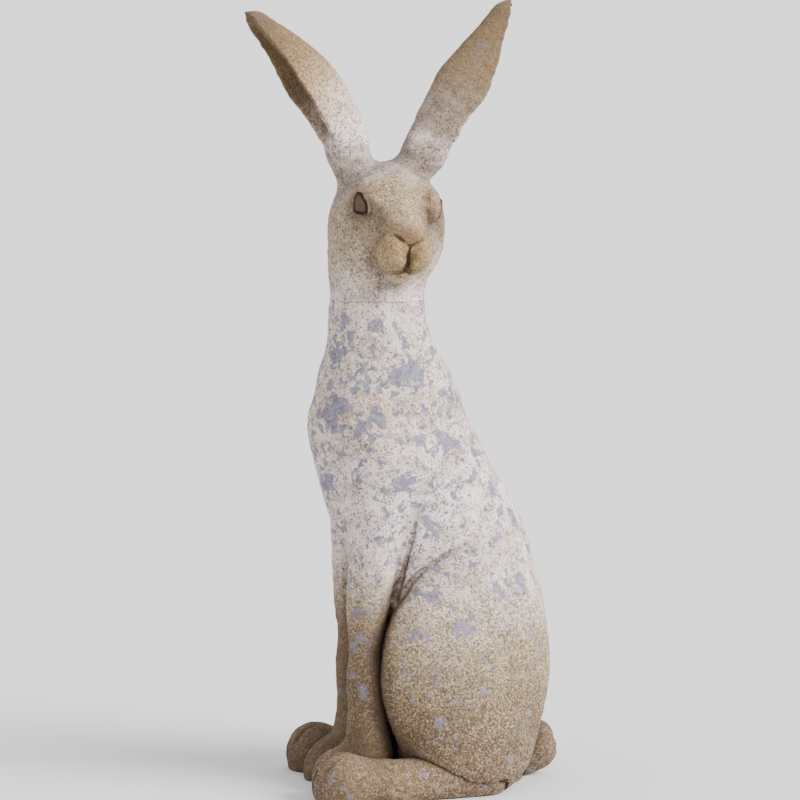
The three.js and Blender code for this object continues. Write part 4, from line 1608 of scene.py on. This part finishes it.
class Wire:
    """A value on its way between nodes, which can be reckoned with as a number can."""

    def __init__(self, bench: "Bench", socket: bpy.types.NodeSocket) -> None:
        """Holds the socket that the value comes out of."""
        self.bench = bench
        self.socket = socket

    def _math(self, operation: str, *values: "Wire | float") -> "Wire":
        """The result of a sum done on some values."""
        return self.bench.node("ShaderNodeMath", {"operation": operation},
                               dict(enumerate(values)))

    def __add__(self, other: "Wire | float") -> "Wire":
        """The sum."""
        return self._math("ADD", self, other)

    __radd__ = __add__

    def __sub__(self, other: "Wire | float") -> "Wire":
        """The difference."""
        return self._math("SUBTRACT", self, other)

    def __rsub__(self, other: "Wire | float") -> "Wire":
        """The difference the other way round."""
        return self._math("SUBTRACT", other, self)

    def __mul__(self, other: "Wire | float") -> "Wire":
        """The product."""
        return self._math("MULTIPLY", self, other)

    def step(self, start: "Wire | float", width: float) -> "Wire":
        """A rise from 0 to 1 over a width, starting where the value passes a start."""
        return self.bench.node("ShaderNodeMath", {"operation": "MULTIPLY", "use_clamp": True},
                               {0: self - start, 1: 1 / width})


class Bench:
    """A material's node tree, with one method that lays out any node."""

    def __init__(self, name: str) -> None:
        """Starts an empty material.

        Args:
            name: The name of the material.
        """
        self.material = bpy.data.materials.new(name)
        self.material.use_nodes = True
        self.tree = self.material.node_tree
        self.tree.nodes.clear()

    def node(self, kind: str, settings: dict | None = None, inputs: dict | None = None,
             output: str | int = 0) -> Wire | None:
        """Lays out a node.

        Args:
            kind: The type of the node.
            settings: Its settings, by name; stops are a ramp's stops.
            inputs: The values or wires of its sockets, by name or number.
            output: The socket that the result comes out of.

        Returns:
            The wire from that socket, or None from a node without one.
        """
        node = self.tree.nodes.new(kind)
        settings = dict(settings or {})
        stops = settings.pop("stops", None)
        for setting, value in settings.items():
            setattr(node, setting, value)
        if stops:
            ramp = node.color_ramp
            while len(ramp.elements) < len(stops):
                ramp.elements.new(0.5)
            for element, (position, colour) in zip(ramp.elements, stops):
                element.position = position
                element.color = (*colour, 1)
        for socket, value in (inputs or {}).items():
            target = node.inputs[socket]
            if isinstance(value, Wire):
                self.tree.links.new(value.socket, target)
            elif isinstance(value, tuple) and len(value) == 3 and target.type == "RGBA":
                target.default_value = (*value, 1)
            else:
                target.default_value = value
        return Wire(self, node.outputs[output]) if len(node.outputs) else None

    def place(self) -> Wire:
        """The place on the piece, in its own axes."""
        return self.node("ShaderNodeTexCoord", {}, {}, "Object")

    def mixed(self, share: Wire | float, a: Wire | tuple, b: Wire | tuple) -> Wire:
        """Two colours mixed."""
        return self.node("ShaderNodeMix", {"data_type": "RGBA"}, {0: share, 6: a, 7: b}, 2)

    def parts(self, colour: Wire, *names: str) -> list[Wire]:
        """Some of the parts of a colour: its red, green or blue."""
        return [self.node("ShaderNodeSeparateColor", {}, {"Color": colour}, name)
                for name in names]

    def cells(self, place: Wire, scale: float, output: str) -> Wire:
        """The colour of the round cell at each place, or the distance from its middle."""
        return self.node("ShaderNodeTexVoronoi", {}, {"Vector": place, "Scale": scale}, output)

    def bump(self, height: Wire, strength: float, depth: float) -> Wire:
        """The direction of a surface with a height in relief."""
        return self.node("ShaderNodeBump", {}, {
            "Height": height, "Strength": strength, "Distance": depth})

    def noise(self, place: Wire, scale: float, detail: float = 3, rough: float = 0.55,
              warp: float = 0.0) -> Wire:
        """Cloudy noise.

        Args:
            place: Where it is taken.
            scale: How many clouds there are to a metre.
            detail: How many finer layers it has.
            rough: How strong the finer layers are.
            warp: How far it is drawn out of shape.

        Returns:
            The noise, from 0 to 1.
        """
        return self.node("ShaderNodeTexNoise", {}, {
            "Vector": place, "Scale": scale, "Detail": detail, "Roughness": rough,
            "Distortion": warp})

    def kept(self, name: str) -> Wire:
        """The number that was recorded on the piece under a name."""
        return self.node("ShaderNodeAttribute", {"attribute_name": name}, {}, "Fac")

    def finish(self, inputs: dict) -> bpy.types.Material:
        """Joins the surface to the output and hands the material over.

        Args:
            inputs: The values or wires of the surface, by name.

        Returns:
            The material.
        """
        surface = self.node("ShaderNodeBsdfPrincipled", {}, inputs)
        self.node("ShaderNodeOutputMaterial", {}, {"Surface": surface})
        return self.material


class Textures:
    """What the layers of the stone are mixed from: recorded weather, grains and clouds."""

    def __init__(self, b: Bench, grains: float) -> None:
        """Lays them out.

        Args:
            b: The bench of the material.
            grains: How many grains there are to a metre.
        """
        self.place = b.place()
        self.worn, self.low = b.kept("worn"), b.kept("low")
        grain = b.cells(self.place, grains, "Color")
        self.dome = b.cells(self.place, grains, "Distance")
        self.kind, self.chance, self.tone = b.parts(grain, "Red", "Green", "Blue")
        self.clouds = b.noise(self.place, 22, 4)
        self.patches = b.noise(self.place, 60, 4, 0.62, 0.3)
        self.blots = b.noise(self.place, 170, 3, 0.6)
        self.fine = b.noise(self.place, 520, 2)


@dataclass(frozen=True)
class WeatheredStone:
    """Coarse ochre sand under a worn pinkish-white wash, with slate-grey scabs, and shade painted
    into its creases and hollows.
    """

    wash: Triple = (0.66, 0.57, 0.545)
    cool_wash: Triple = (0.25, 0.20, 0.205)
    dirt_and_shade: Triple = (0.10, 0.068, 0.052)
    cream: Triple = (0.46, 0.365, 0.21)
    nose: Triple = (0.135, 0.066, 0.043)
    slate: Triple = (0.07, 0.07, 0.115)
    pale_slate: Triple = (0.20, 0.197, 0.275)
    # The dark brown of the shade painted into creases.
    crease_shade_brown: Triple = (0.045, 0.026, 0.016)
    ochre: Triple = (0.29, 0.175, 0.05)
    dark_ochre: Triple = (0.15, 0.092, 0.028)
    umber: Triple = (0.08, 0.05, 0.03)
    sands: Sequence = (
        (0.0, (0.03, 0.018, 0.011)), (0.2, (0.075, 0.049, 0.03)), (0.45, (0.155, 0.108, 0.063)),
        (0.7, (0.26, 0.19, 0.11)), (0.9, (0.40, 0.315, 0.205)), (1.0, (0.56, 0.48, 0.38)),
    )
    grains: float = 660
    pits: float = 290

    def coat(self, b: Bench, t: Textures) -> tuple[Wire, Wire]:
        """The wash, and the sand that shows where it has worn off.

        Args:
            b: The bench of the material.
            t: Its textures.

        Returns:
            The colour, and how bare the sand is.
        """
        wash = b.mixed((t.patches - 0.5) * 2.4 + (t.tone - 0.5) * 1.0 + 0.3,
                       self.wash, self.cool_wash)
        stained = t.blots.step(0.5, 0.14) * t.patches.step(0.42, 0.2) * (t.tone + 0.2)
        wash = b.mixed(stained * 0.62, wash, self.dirt_and_shade)
        wash = b.mixed(t.worn * 0.8 - 0.1, wash, b.mixed(t.tone, self.cream, self.ochre))
        sand = b.node("ShaderNodeValToRGB", {"stops": self.sands}, {"Fac": t.kind}, "Color")
        sand = b.mixed(t.low, sand, b.mixed(0.62, sand, self.umber))
        sand = b.mixed(0.42 - t.low * 0.42, sand, wash)
        bare = t.worn + (t.clouds - 0.5) * 0.7 + (t.blots - 0.5) * 0.5 + (t.patches - 0.5) * 0.6
        covered = 1 - (bare - t.chance).step(-0.1, 0.35)
        return b.mixed(covered * 0.9, sand, wash), bare

    def stained(self, b: Bench, t: Textures, colour: Wire) -> Wire:
        """A colour with ochre stains all over, more on muzzle, brows and ears, and a red nose.

        Args:
            b: The bench of the material.
            t: Its textures.
            colour: The colour.

        Returns:
            The stained colour.
        """
        rust = b.noise(t.place, 15, 4, 0.6, 0.5).step(0.48, 0.22) * (0.5 - t.low * 0.3)
        colour = b.mixed(rust * 0.5, colour, self.ochre)
        stain = b.mixed(t.kind, self.dark_ochre, self.ochre)
        colour = b.mixed(b.kept("ochre") * (t.tone * 0.4 + 0.5), colour, stain)
        return b.mixed(b.kept("nose") * (t.tone * 0.4 + 0.55), colour, self.nose)

    def pit(self, b: Bench, t: Textures) -> Wire:
        """The pits in the sand.

        Args:
            b: The bench of the material.
            t: Its textures.

        Returns:
            A value that is 1 in a pit and 0 outside.
        """
        hole = (0.34 - b.cells(t.place, self.pits, "Distance")).step(0, 0.12)
        likely = b.parts(b.cells(t.place, self.pits, "Color"), "Red")[0] + t.patches * 1.1
        return hole * (likely + t.low * 0.2).step(0.95, 0.15)

    def scab(self, b: Bench, t: Textures) -> Wire:
        """The slate scabs and their crumbs.

        Args:
            b: The bench of the material.
            t: Its textures.

        Returns:
            A value that is 1 on a scab and 0 outside.
        """
        scabby = b.kept("scabby")
        scabs = b.noise(t.place, 44, 3.2, 0.55, 0.4) + (t.fine - 0.5) * 0.06
        crumbs = b.noise(t.place, 125, 2.5, 0.5, 0.3) + (t.clouds - 0.5) * 0.3
        return b.node("ShaderNodeMath", {"operation": "MAXIMUM"}, {
            0: (scabs + scabby * 0.075).step(0.655, 0.03),
            1: (crumbs + scabby * 0.12).step(0.7, 0.04)})

    def material(self) -> bpy.types.Material:
        """The stone as a material.

        Returns:
            The material.
        """
        b = Bench("weathered_stone")
        t = Textures(b, self.grains)
        colour, bare = self.coat(b, t)
        pit, scab = self.pit(b, t), self.scab(b, t)
        colour = b.mixed(pit * 0.75, self.stained(b, t, colour), self.umber)
        slate = b.mixed((t.blots - 0.5) * 2.6 + (t.tone - 0.5) * 1.0 + t.low * 0.5 + 0.45,
                        self.slate, self.pale_slate)
        colour = b.mixed(scab * (1 - t.low * 0.5) * 0.85, colour, slate)
        # Painted shade, with the darkening of the ears and head, mixed towards umber.
        colour = b.mixed(b.kept("grime").step(0.3, 0.8) * 0.7, colour, self.umber)
        # Painted shade: creases and hollows darkened towards dark brown by how deep they lie.
        colour = b.mixed(b.kept("shelter").step(0.08, 0.65) * 0.88, colour, self.crease_shade_brown)
        grains = t.dome * -0.55 + t.fine * 0.5 + t.blots * 0.8
        height = grains - bare * 0.3 - pit * 0.6 + scab * 0.4
        return b.finish({"Base Color": colour, "Roughness": 0.95 - scab * 0.1,
                         "Normal": b.bump(height, 0.6, 0.001), "Specular IOR Level": 0.25})


@dataclass(frozen=True)
class PaintedEye:
    """Brown-grey paint, worn paler in the middle, with painted shade darkening it round the edge
    where the bead sits in its well.
    """

    paint: Triple = (0.012, 0.007, 0.005)
    worn: Triple = (0.085, 0.053, 0.040)

    def material(self) -> bpy.types.Material:
        """The paint as a material.

        Returns:
            The material.
        """
        b = Bench("painted_eye")
        place = b.place()
        # Random wear, less a painted shade round the bead's edge where it sits in its well.
        rubbed_and_rim_shade = b.noise(place, 420, 3) * 0.9 + 0.45 - b.kept("edge").step(0.6, 0.38)
        colour = b.mixed(rubbed_and_rim_shade, self.paint, self.worn)
        return b.finish({"Base Color": colour, "Roughness": 0.7 + rubbed_and_rim_shade * 0.1,
                         "Normal": b.bump(b.noise(place, 900, 2), 0.25, 0.0004),
                         "Specular IOR Level": 0.15})


@dataclass(frozen=True)
class Mortar:
    """Grey-buff bedding mortar."""

    paste: Triple = (0.42, 0.39, 0.33)
    sand: Triple = (0.25, 0.21, 0.15)

    def material(self) -> bpy.types.Material:
        """The mortar as a material.

        Returns:
            The material.
        """
        b = Bench("mortar")
        speck = b.noise(b.place(), 700, 3)
        colour = b.mixed(speck.step(0.5, 0.2), self.paste, self.sand)
        return b.finish({"Base Color": colour, "Roughness": 0.9 + speck * 0.06,
                         "Normal": b.bump(speck, 0.5, 0.0008)})


@dataclass(frozen=True)
class GalvanisedSteel:
    """Dull zinc on drawn steel rod."""

    zinc: Triple = (0.45, 0.46, 0.46)
    dull: Triple = (0.30, 0.30, 0.30)

    def material(self) -> bpy.types.Material:
        """The steel as a material.

        Returns:
            The material.
        """
        b = Bench("galvanised_steel")
        spangle = b.cells(b.place(), 350, "Distance")
        colour = b.mixed(spangle, self.zinc, self.dull)
        return b.finish({"Base Color": colour, "Metallic": 1.0, "Roughness": 0.42 + spangle * 0.2})


# Castings, eyes and fixings


@dataclass
class Workshop:
    """What every sub-assembly is made with."""

    figure: Figure
    weather: Weather
    stone: bpy.types.Material
    paint: bpy.types.Material
    crisp_from: float = 60

    def hand_over(self, piece: bpy.types.Object, slot: Slot, node: str) -> None:
        """Finishes a piece of stone and puts it in place of a CAD node.

        Args:
            piece: The piece.
            slot: The material slot meant for the piece; not used.
            node: The node that it stands for.
        """
        only(piece)
        bpy.ops.object.shade_smooth_by_angle(angle=math.radians(self.crisp_from))
        self.weather.put_on(self.figure, piece)
        piece.data.materials.clear()
        piece.data.materials.append(self.stone)
        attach(piece, "root")
        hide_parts(node)
        log.info("%s: %d faces", piece.name, len(piece.data.polygons))


def stretch(side: Side, near: float, far: float, middle: float = 0) -> list[float]:
    """The two ends of a stretch on a side of the hare, the lower one first."""
    return sorted((middle + side.value * near, middle + side.value * far))


@dataclass
class Body:
    """The body casting, from the floor to the neck.

    The rebate for the base plate and the hollow above it each have a radius and a depth.
    """

    cell: float = 2.1
    socket_cell: float = 1.6
    rebate: Sequence = (34.5, 9.5)
    hollow: Sequence = (28, 70)
    core: Triple = (0, 64, 0)
    overrun: float = 7.0
    socket_room: float = 3
    socket_reach: Sequence = (-20, 8)
    socket_edge: float = 0.6

    def build(self, shop: Workshop) -> None:
        """Models the casting, saws its joints and dresses it.

        Args:
            shop: What it is made with.
        """
        figure = shop.figure
        top = NECK_SEAM + self.overrun
        stub = Carved(figure.foreleg, below(ELBOW_SEAM - self.overrun), TRIM)
        mass = Laid(figure.shouldered(BothSides(stub)), figure.head, figure.NECK_SOFTNESS)
        mass = Carved(Carved(HandWork(mass), above(top), TRIM), UNDER_FLOOR, FLOOR_EDGE)
        mass = Carved(mass, Grown(HandWork(BothSides(figure.hind_foot)), BED), BED_EDGE)
        body = modelled("body_casting", mass, (-103, -110, 0), (103, 155, top), self.cell)
        saw(body, (0, 0, NECK_CUT), (0, 0, 1))
        for side in Side:
            cut_away(body, self.socket(figure, side))
        self.cut_rebate(body)
        shop.hand_over(largest_only(body), Slot.PALE, "body")

    def socket(self, figure: Figure, side: Side) -> bpy.types.Object:
        """What is cut out of the body to make room for a foreleg.

        Args:
            figure: The figure.
            side: The side of the foreleg.

        Returns:
            The piece to cut with.
        """
        low, high = (ELBOW_SEAM + reach for reach in self.socket_reach)
        leg = Grown(OnSide(figure.foreleg, side), self.socket_room)
        for tool in (figure.core, above(high), below(low)):
            leg = Carved(leg, tool, self.socket_edge)
        x = stretch(side, 2, 62)
        cutter = modelled(f"cutter_{side.word}", leg, (x[0], -75, low), (x[1], 0, high),
                          self.socket_cell)
        saw(cutter, (0, 0, ELBOW_SEAM), (0, 0, 1))
        return cutter

    def cut_rebate(self, body: bpy.types.Object) -> None:
        """Cuts the rebate for the base plate and the foot of the hollow.

        Args:
            body: The casting.
        """
        for radius, depth in (self.rebate, self.hollow):
            bpy.ops.mesh.primitive_cylinder_add(
                vertices=96, radius=radius * MM, depth=2 * depth * MM,
                location=to_frame(np.array(self.core, float)))
            cut_away(body, bpy.context.object)


@dataclass
class Forelegs:
    """Both forelegs, from the elbow down."""

    cell: float = 1.6
    overrun: float = 7.0

    def build(self, shop: Workshop) -> None:
        """Models each casting, saws its elbow joint and dresses it.

        Args:
            shop: What they are made with.
        """
        figure = shop.figure
        top = ELBOW_SEAM + self.overrun
        for side in Side:
            foot = HandWork(OnSide(figure.hind_foot, side))
            leg = HandWork(OnSide(figure.foreleg, side))
            leg = Carved(leg, Grown(HandWork(figure.core), BED), BED_EDGE)
            leg = Carved(Carved(leg, above(top), TRIM), UNDER_FLOOR, FLOOR_EDGE)
            leg = Carved(leg, Grown(foot, BED), BED_EDGE)
            x = stretch(side, 2, 62)
            piece = modelled(f"{side.word}_foreleg_casting", leg, (x[0], -100, 0),
                             (x[1], -8, top), self.cell)
            saw(piece, (0, 0, ELBOW_SEAM), (0, 0, 1))
            shop.hand_over(largest_only(piece), Slot.OCHRE, f"{side.word}_foreleg")


@dataclass
class HindFeet:
    """Both hind feet."""

    cell: float = 1.6

    def build(self, shop: Workshop) -> None:
        """Models each casting and dresses it.

        Args:
            shop: What they are made with.
        """
        for side in Side:
            foot = HandWork(OnSide(shop.figure.hind_foot, side))
            x = stretch(side, 38, 102)
            piece = modelled(f"{side.word}_hind_foot_casting",
                             Carved(foot, UNDER_FLOOR, FLOOR_EDGE), (x[0], -108, 0),
                             (x[1], 100, 52), self.cell)
            shop.hand_over(piece, Slot.OCHRE, f"{side.word}_hind_foot")


@dataclass
class Tail:
    """The tail."""

    cell: float = 1.6

    def build(self, shop: Workshop) -> None:
        """Models the casting and dresses it.

        Args:
            shop: What it is made with.
        """
        rump = Grown(HandWork(shop.figure.core), BED)
        tail = Carved(Carved(HandWork(shop.figure.tail), rump, BED_EDGE), UNDER_FLOOR, FLOOR_EDGE)
        piece = modelled("tail_casting", tail, (-26, 92, 0), (26, 168, 60), self.cell)
        shop.hand_over(largest_only(piece), Slot.OCHRE, "tail")


@dataclass
class Head:
    """The head, both ears and both eyes."""

    cell: float = 0.96
    ear_cell: float = 1.15
    overrun: float = 6.0
    ear_space_edge: float = 0.5
    stub: float = 90
    bead_gap: float = 0.1
    bead_proud: float = -0.2
    bead_rise: float = 3.6
    bead_back: float = 1.5

    def joint(self, side: Side) -> tuple[Points, Points]:
        """A place on an ear's joint with the head, and the way up the ear."""
        places, ways, _ = EARS[side].middle()
        return places[0], ways[0]

    def other_ear(self, side: Side) -> Beyond:
        """Everything on the far side of the plane between the ears."""
        return Beyond((0, EARS_APART, 0), (0, -side.value, 0))

    def build(self, shop: Workshop) -> None:
        """Models the head, the ears and the eyes, and dresses them.

        Args:
            shop: What they are made with.
        """
        whole = Carved(shop.figure.whole, below(NECK_SEAM - self.overrun), TRIM)
        head = whole
        for side in Side:
            place, way = self.joint(side)
            space = Carved(Beyond(tuple(place + self.overrun * way), tuple(way)),
                           self.other_ear(side), self.ear_space_edge)
            head = Carved(head, space, TRIM)
        piece = modelled("head_casting", head, (-52, -80, NECK_SEAM - self.overrun), (95, 58, 668),
                         self.cell)
        saw(piece, (0, 0, NECK_CUT), (0, 0, -1))
        for side in Side:
            self.cut_stub(piece, side)
        shop.hand_over(largest_only(piece), Slot.PALE, "head")
        for side in Side:
            self.build_ear(shop, side, whole)
            self.build_eye(shop, side)

    def cut_stub(self, piece: bpy.types.Object, side: Side) -> None:
        """Cuts an ear's stub off the head along the joint's plane.

        Args:
            piece: The head.
            side: The side of the ear.
        """
        place, way = self.joint(side)
        bpy.ops.mesh.primitive_cube_add(size=self.stub * MM,
                                        location=to_frame(place + self.stub / 2 * way))
        cutter = bpy.context.object
        cutter.rotation_mode = "QUATERNION"
        cutter.rotation_quaternion = Vector(way).to_track_quat("Z", "Y")
        bpy.context.view_layer.update()
        cut_away(piece, cutter)

    def build_ear(self, shop: Workshop, side: Side, whole: Mass) -> None:
        """Models an ear and dresses it.

        Args:
            shop: What it is made with.
            side: Its side.
            whole: The head with both ears.
        """
        place, way = self.joint(side)
        ear = Carved(whole, Beyond(tuple(place - self.overrun * way), tuple(-way)), TRIM)
        ear = Carved(ear, self.other_ear(side), TRIM)
        y = stretch(side, 0, 148, EARS_APART)
        piece = modelled(f"{side.word}_ear_casting", ear, (-46, y[0], 605), (40, y[1], 800),
                         self.ear_cell)
        saw(piece, place, tuple(-way))
        shop.hand_over(largest_only(piece), Slot.PALE, f"{side.word}_ear")

    def build_eye(self, shop: Workshop, side: Side) -> None:
        """Models an eye's bead from a sphere drawn to the outline of its opening.

        Args:
            shop: What it is made with.
            side: Its side.
        """
        place, ways = shop.figure.eyes[side]
        bpy.ops.mesh.primitive_uv_sphere_add(segments=48, ring_count=24, radius=1)
        bead = bpy.context.object
        bead.name = f"{side.word}_eye_bead"
        x, y, z = coordinates(bead).T
        turn, flat = np.arctan2(y, x), np.hypot(x, y)
        wide = shop.figure.opening.reach(turn) - self.bead_gap
        deep = np.where(z > 0, self.bead_rise, self.bead_back)
        local = np.column_stack([flat * wide * np.cos(turn), flat * wide * np.sin(turn),
                                 deep * z - self.bead_rise + self.bead_proud])
        bead.data.vertices.foreach_set("co", to_frame(place + local @ ways).ravel())
        bead.data.update()
        only(bead)
        bpy.ops.object.mode_set(mode="EDIT")
        bpy.ops.mesh.select_all(action="SELECT")
        bpy.ops.mesh.normals_make_consistent(inside=False)
        bpy.ops.object.mode_set(mode="OBJECT")
        bpy.ops.object.shade_smooth()
        record(bead, "edge", flat)
        bead.data.materials.append(shop.paint)
        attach(bead, "root")
        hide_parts(f"{side.word}_eye")


@dataclass
class Fixings:
    """The pins, rods and base plate, which keep their CAD shapes."""

    plate: str = "base_plate"

    def dress(self) -> None:
        """Gives every CAD node that still shows its material."""
        steel, mortar = GalvanisedSteel().material(), Mortar().material()
        for name, node in frame["nodes"].items():
            if node.hide_render:
                continue
            node.data.materials.clear()
            node.data.materials.append(mortar if name == self.plate else steel)
            log.info("%s keeps its CAD shape", name)


# The studio


@dataclass
class Studio:
    """The camera, the light, the floor and the white surroundings."""

    eye: Triple = (2533.4, -584.9, 614.0)
    azimuth: float = 77
    dip: float = 5
    lens: float = 117.36
    sensor: float = 36
    clip: Sequence = (0.05, 60)
    key_power: float = 8.5
    key_spread: float = 35
    key_from: Triple = (0.50, 0.72, 0.52)
    fill: float = 1.7
    floor_white: Triple = (0.552, 0.552, 0.552)
    floor_size: float = 400
    floor_drop: float = 0.0005

    def camera(self) -> None:
        """Sets the camera where the photographer's was."""
        a, dip = math.radians(self.azimuth), math.radians(self.dip)
        view = Vector((-math.sin(a) * math.cos(dip), math.cos(a) * math.cos(dip), -math.sin(dip)))
        data = bpy.data.cameras.new("camera")
        data.lens, data.sensor_width, data.sensor_fit = self.lens, self.sensor, "HORIZONTAL"
        data.clip_start, data.clip_end = self.clip
        camera = bpy.data.objects.new("camera", data)
        camera.location = to_frame(np.array(self.eye))
        camera.rotation_euler = view.to_track_quat("-Z", "Y").to_euler()
        bpy.context.scene.collection.objects.link(camera)
        bpy.context.scene.camera = camera

    def light(self) -> None:
        """Hangs a broad soft light to the camera's right, above it."""
        data = bpy.data.lights.new("key", "SUN")
        data.angle, data.energy = math.radians(self.key_spread), self.key_power
        lamp = bpy.data.objects.new("key", data)
        lamp.rotation_euler = Vector(self.key_from).to_track_quat("Z", "Y").to_euler()
        bpy.context.scene.collection.objects.link(lamp)

    def surround(self) -> None:
        """Surrounds the figure with even white light."""
        world = bpy.data.worlds.new("surroundings")
        world.use_nodes = True
        background = world.node_tree.nodes["Background"]
        background.inputs["Color"].default_value = (1, 1, 1, 1)
        background.inputs["Strength"].default_value = self.fill
        bpy.context.scene.world = world

    def build(self) -> None:
        """Sets up the whole studio."""
        self.camera()
        self.light()
        self.surround()
        bpy.ops.object.select_all(action="DESELECT")
        bpy.ops.mesh.primitive_plane_add(size=self.floor_size, location=(0, 0, -self.floor_drop))
        floor = bpy.context.object
        floor.name = "floor"
        b = Bench("floor")
        floor.data.materials.append(b.finish({
            "Base Color": self.floor_white, "Roughness": 0.9, "Specular IOR Level": 0.0}))
        floor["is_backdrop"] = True


def main() -> None:
    """Builds the hare piece by piece and sets up the studio."""
    logging.basicConfig(level=logging.INFO, format="%(message)s", stream=sys.stdout)
    studio = Studio()
    studio.build()
    shop = Workshop(Figure(), Weather(), WeatheredStone().material(), PaintedEye().material())
    for part in (Body(), Forelegs(), HindFeet(), Tail(), Head()):
        part.build(shop)
        log.info("%s done", type(part).__name__)
    Fixings().dress()
    boxes = [[list(corner) for corner in box] for box in (CAD_BOX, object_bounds())]


if __name__ == "__main__":
    main()
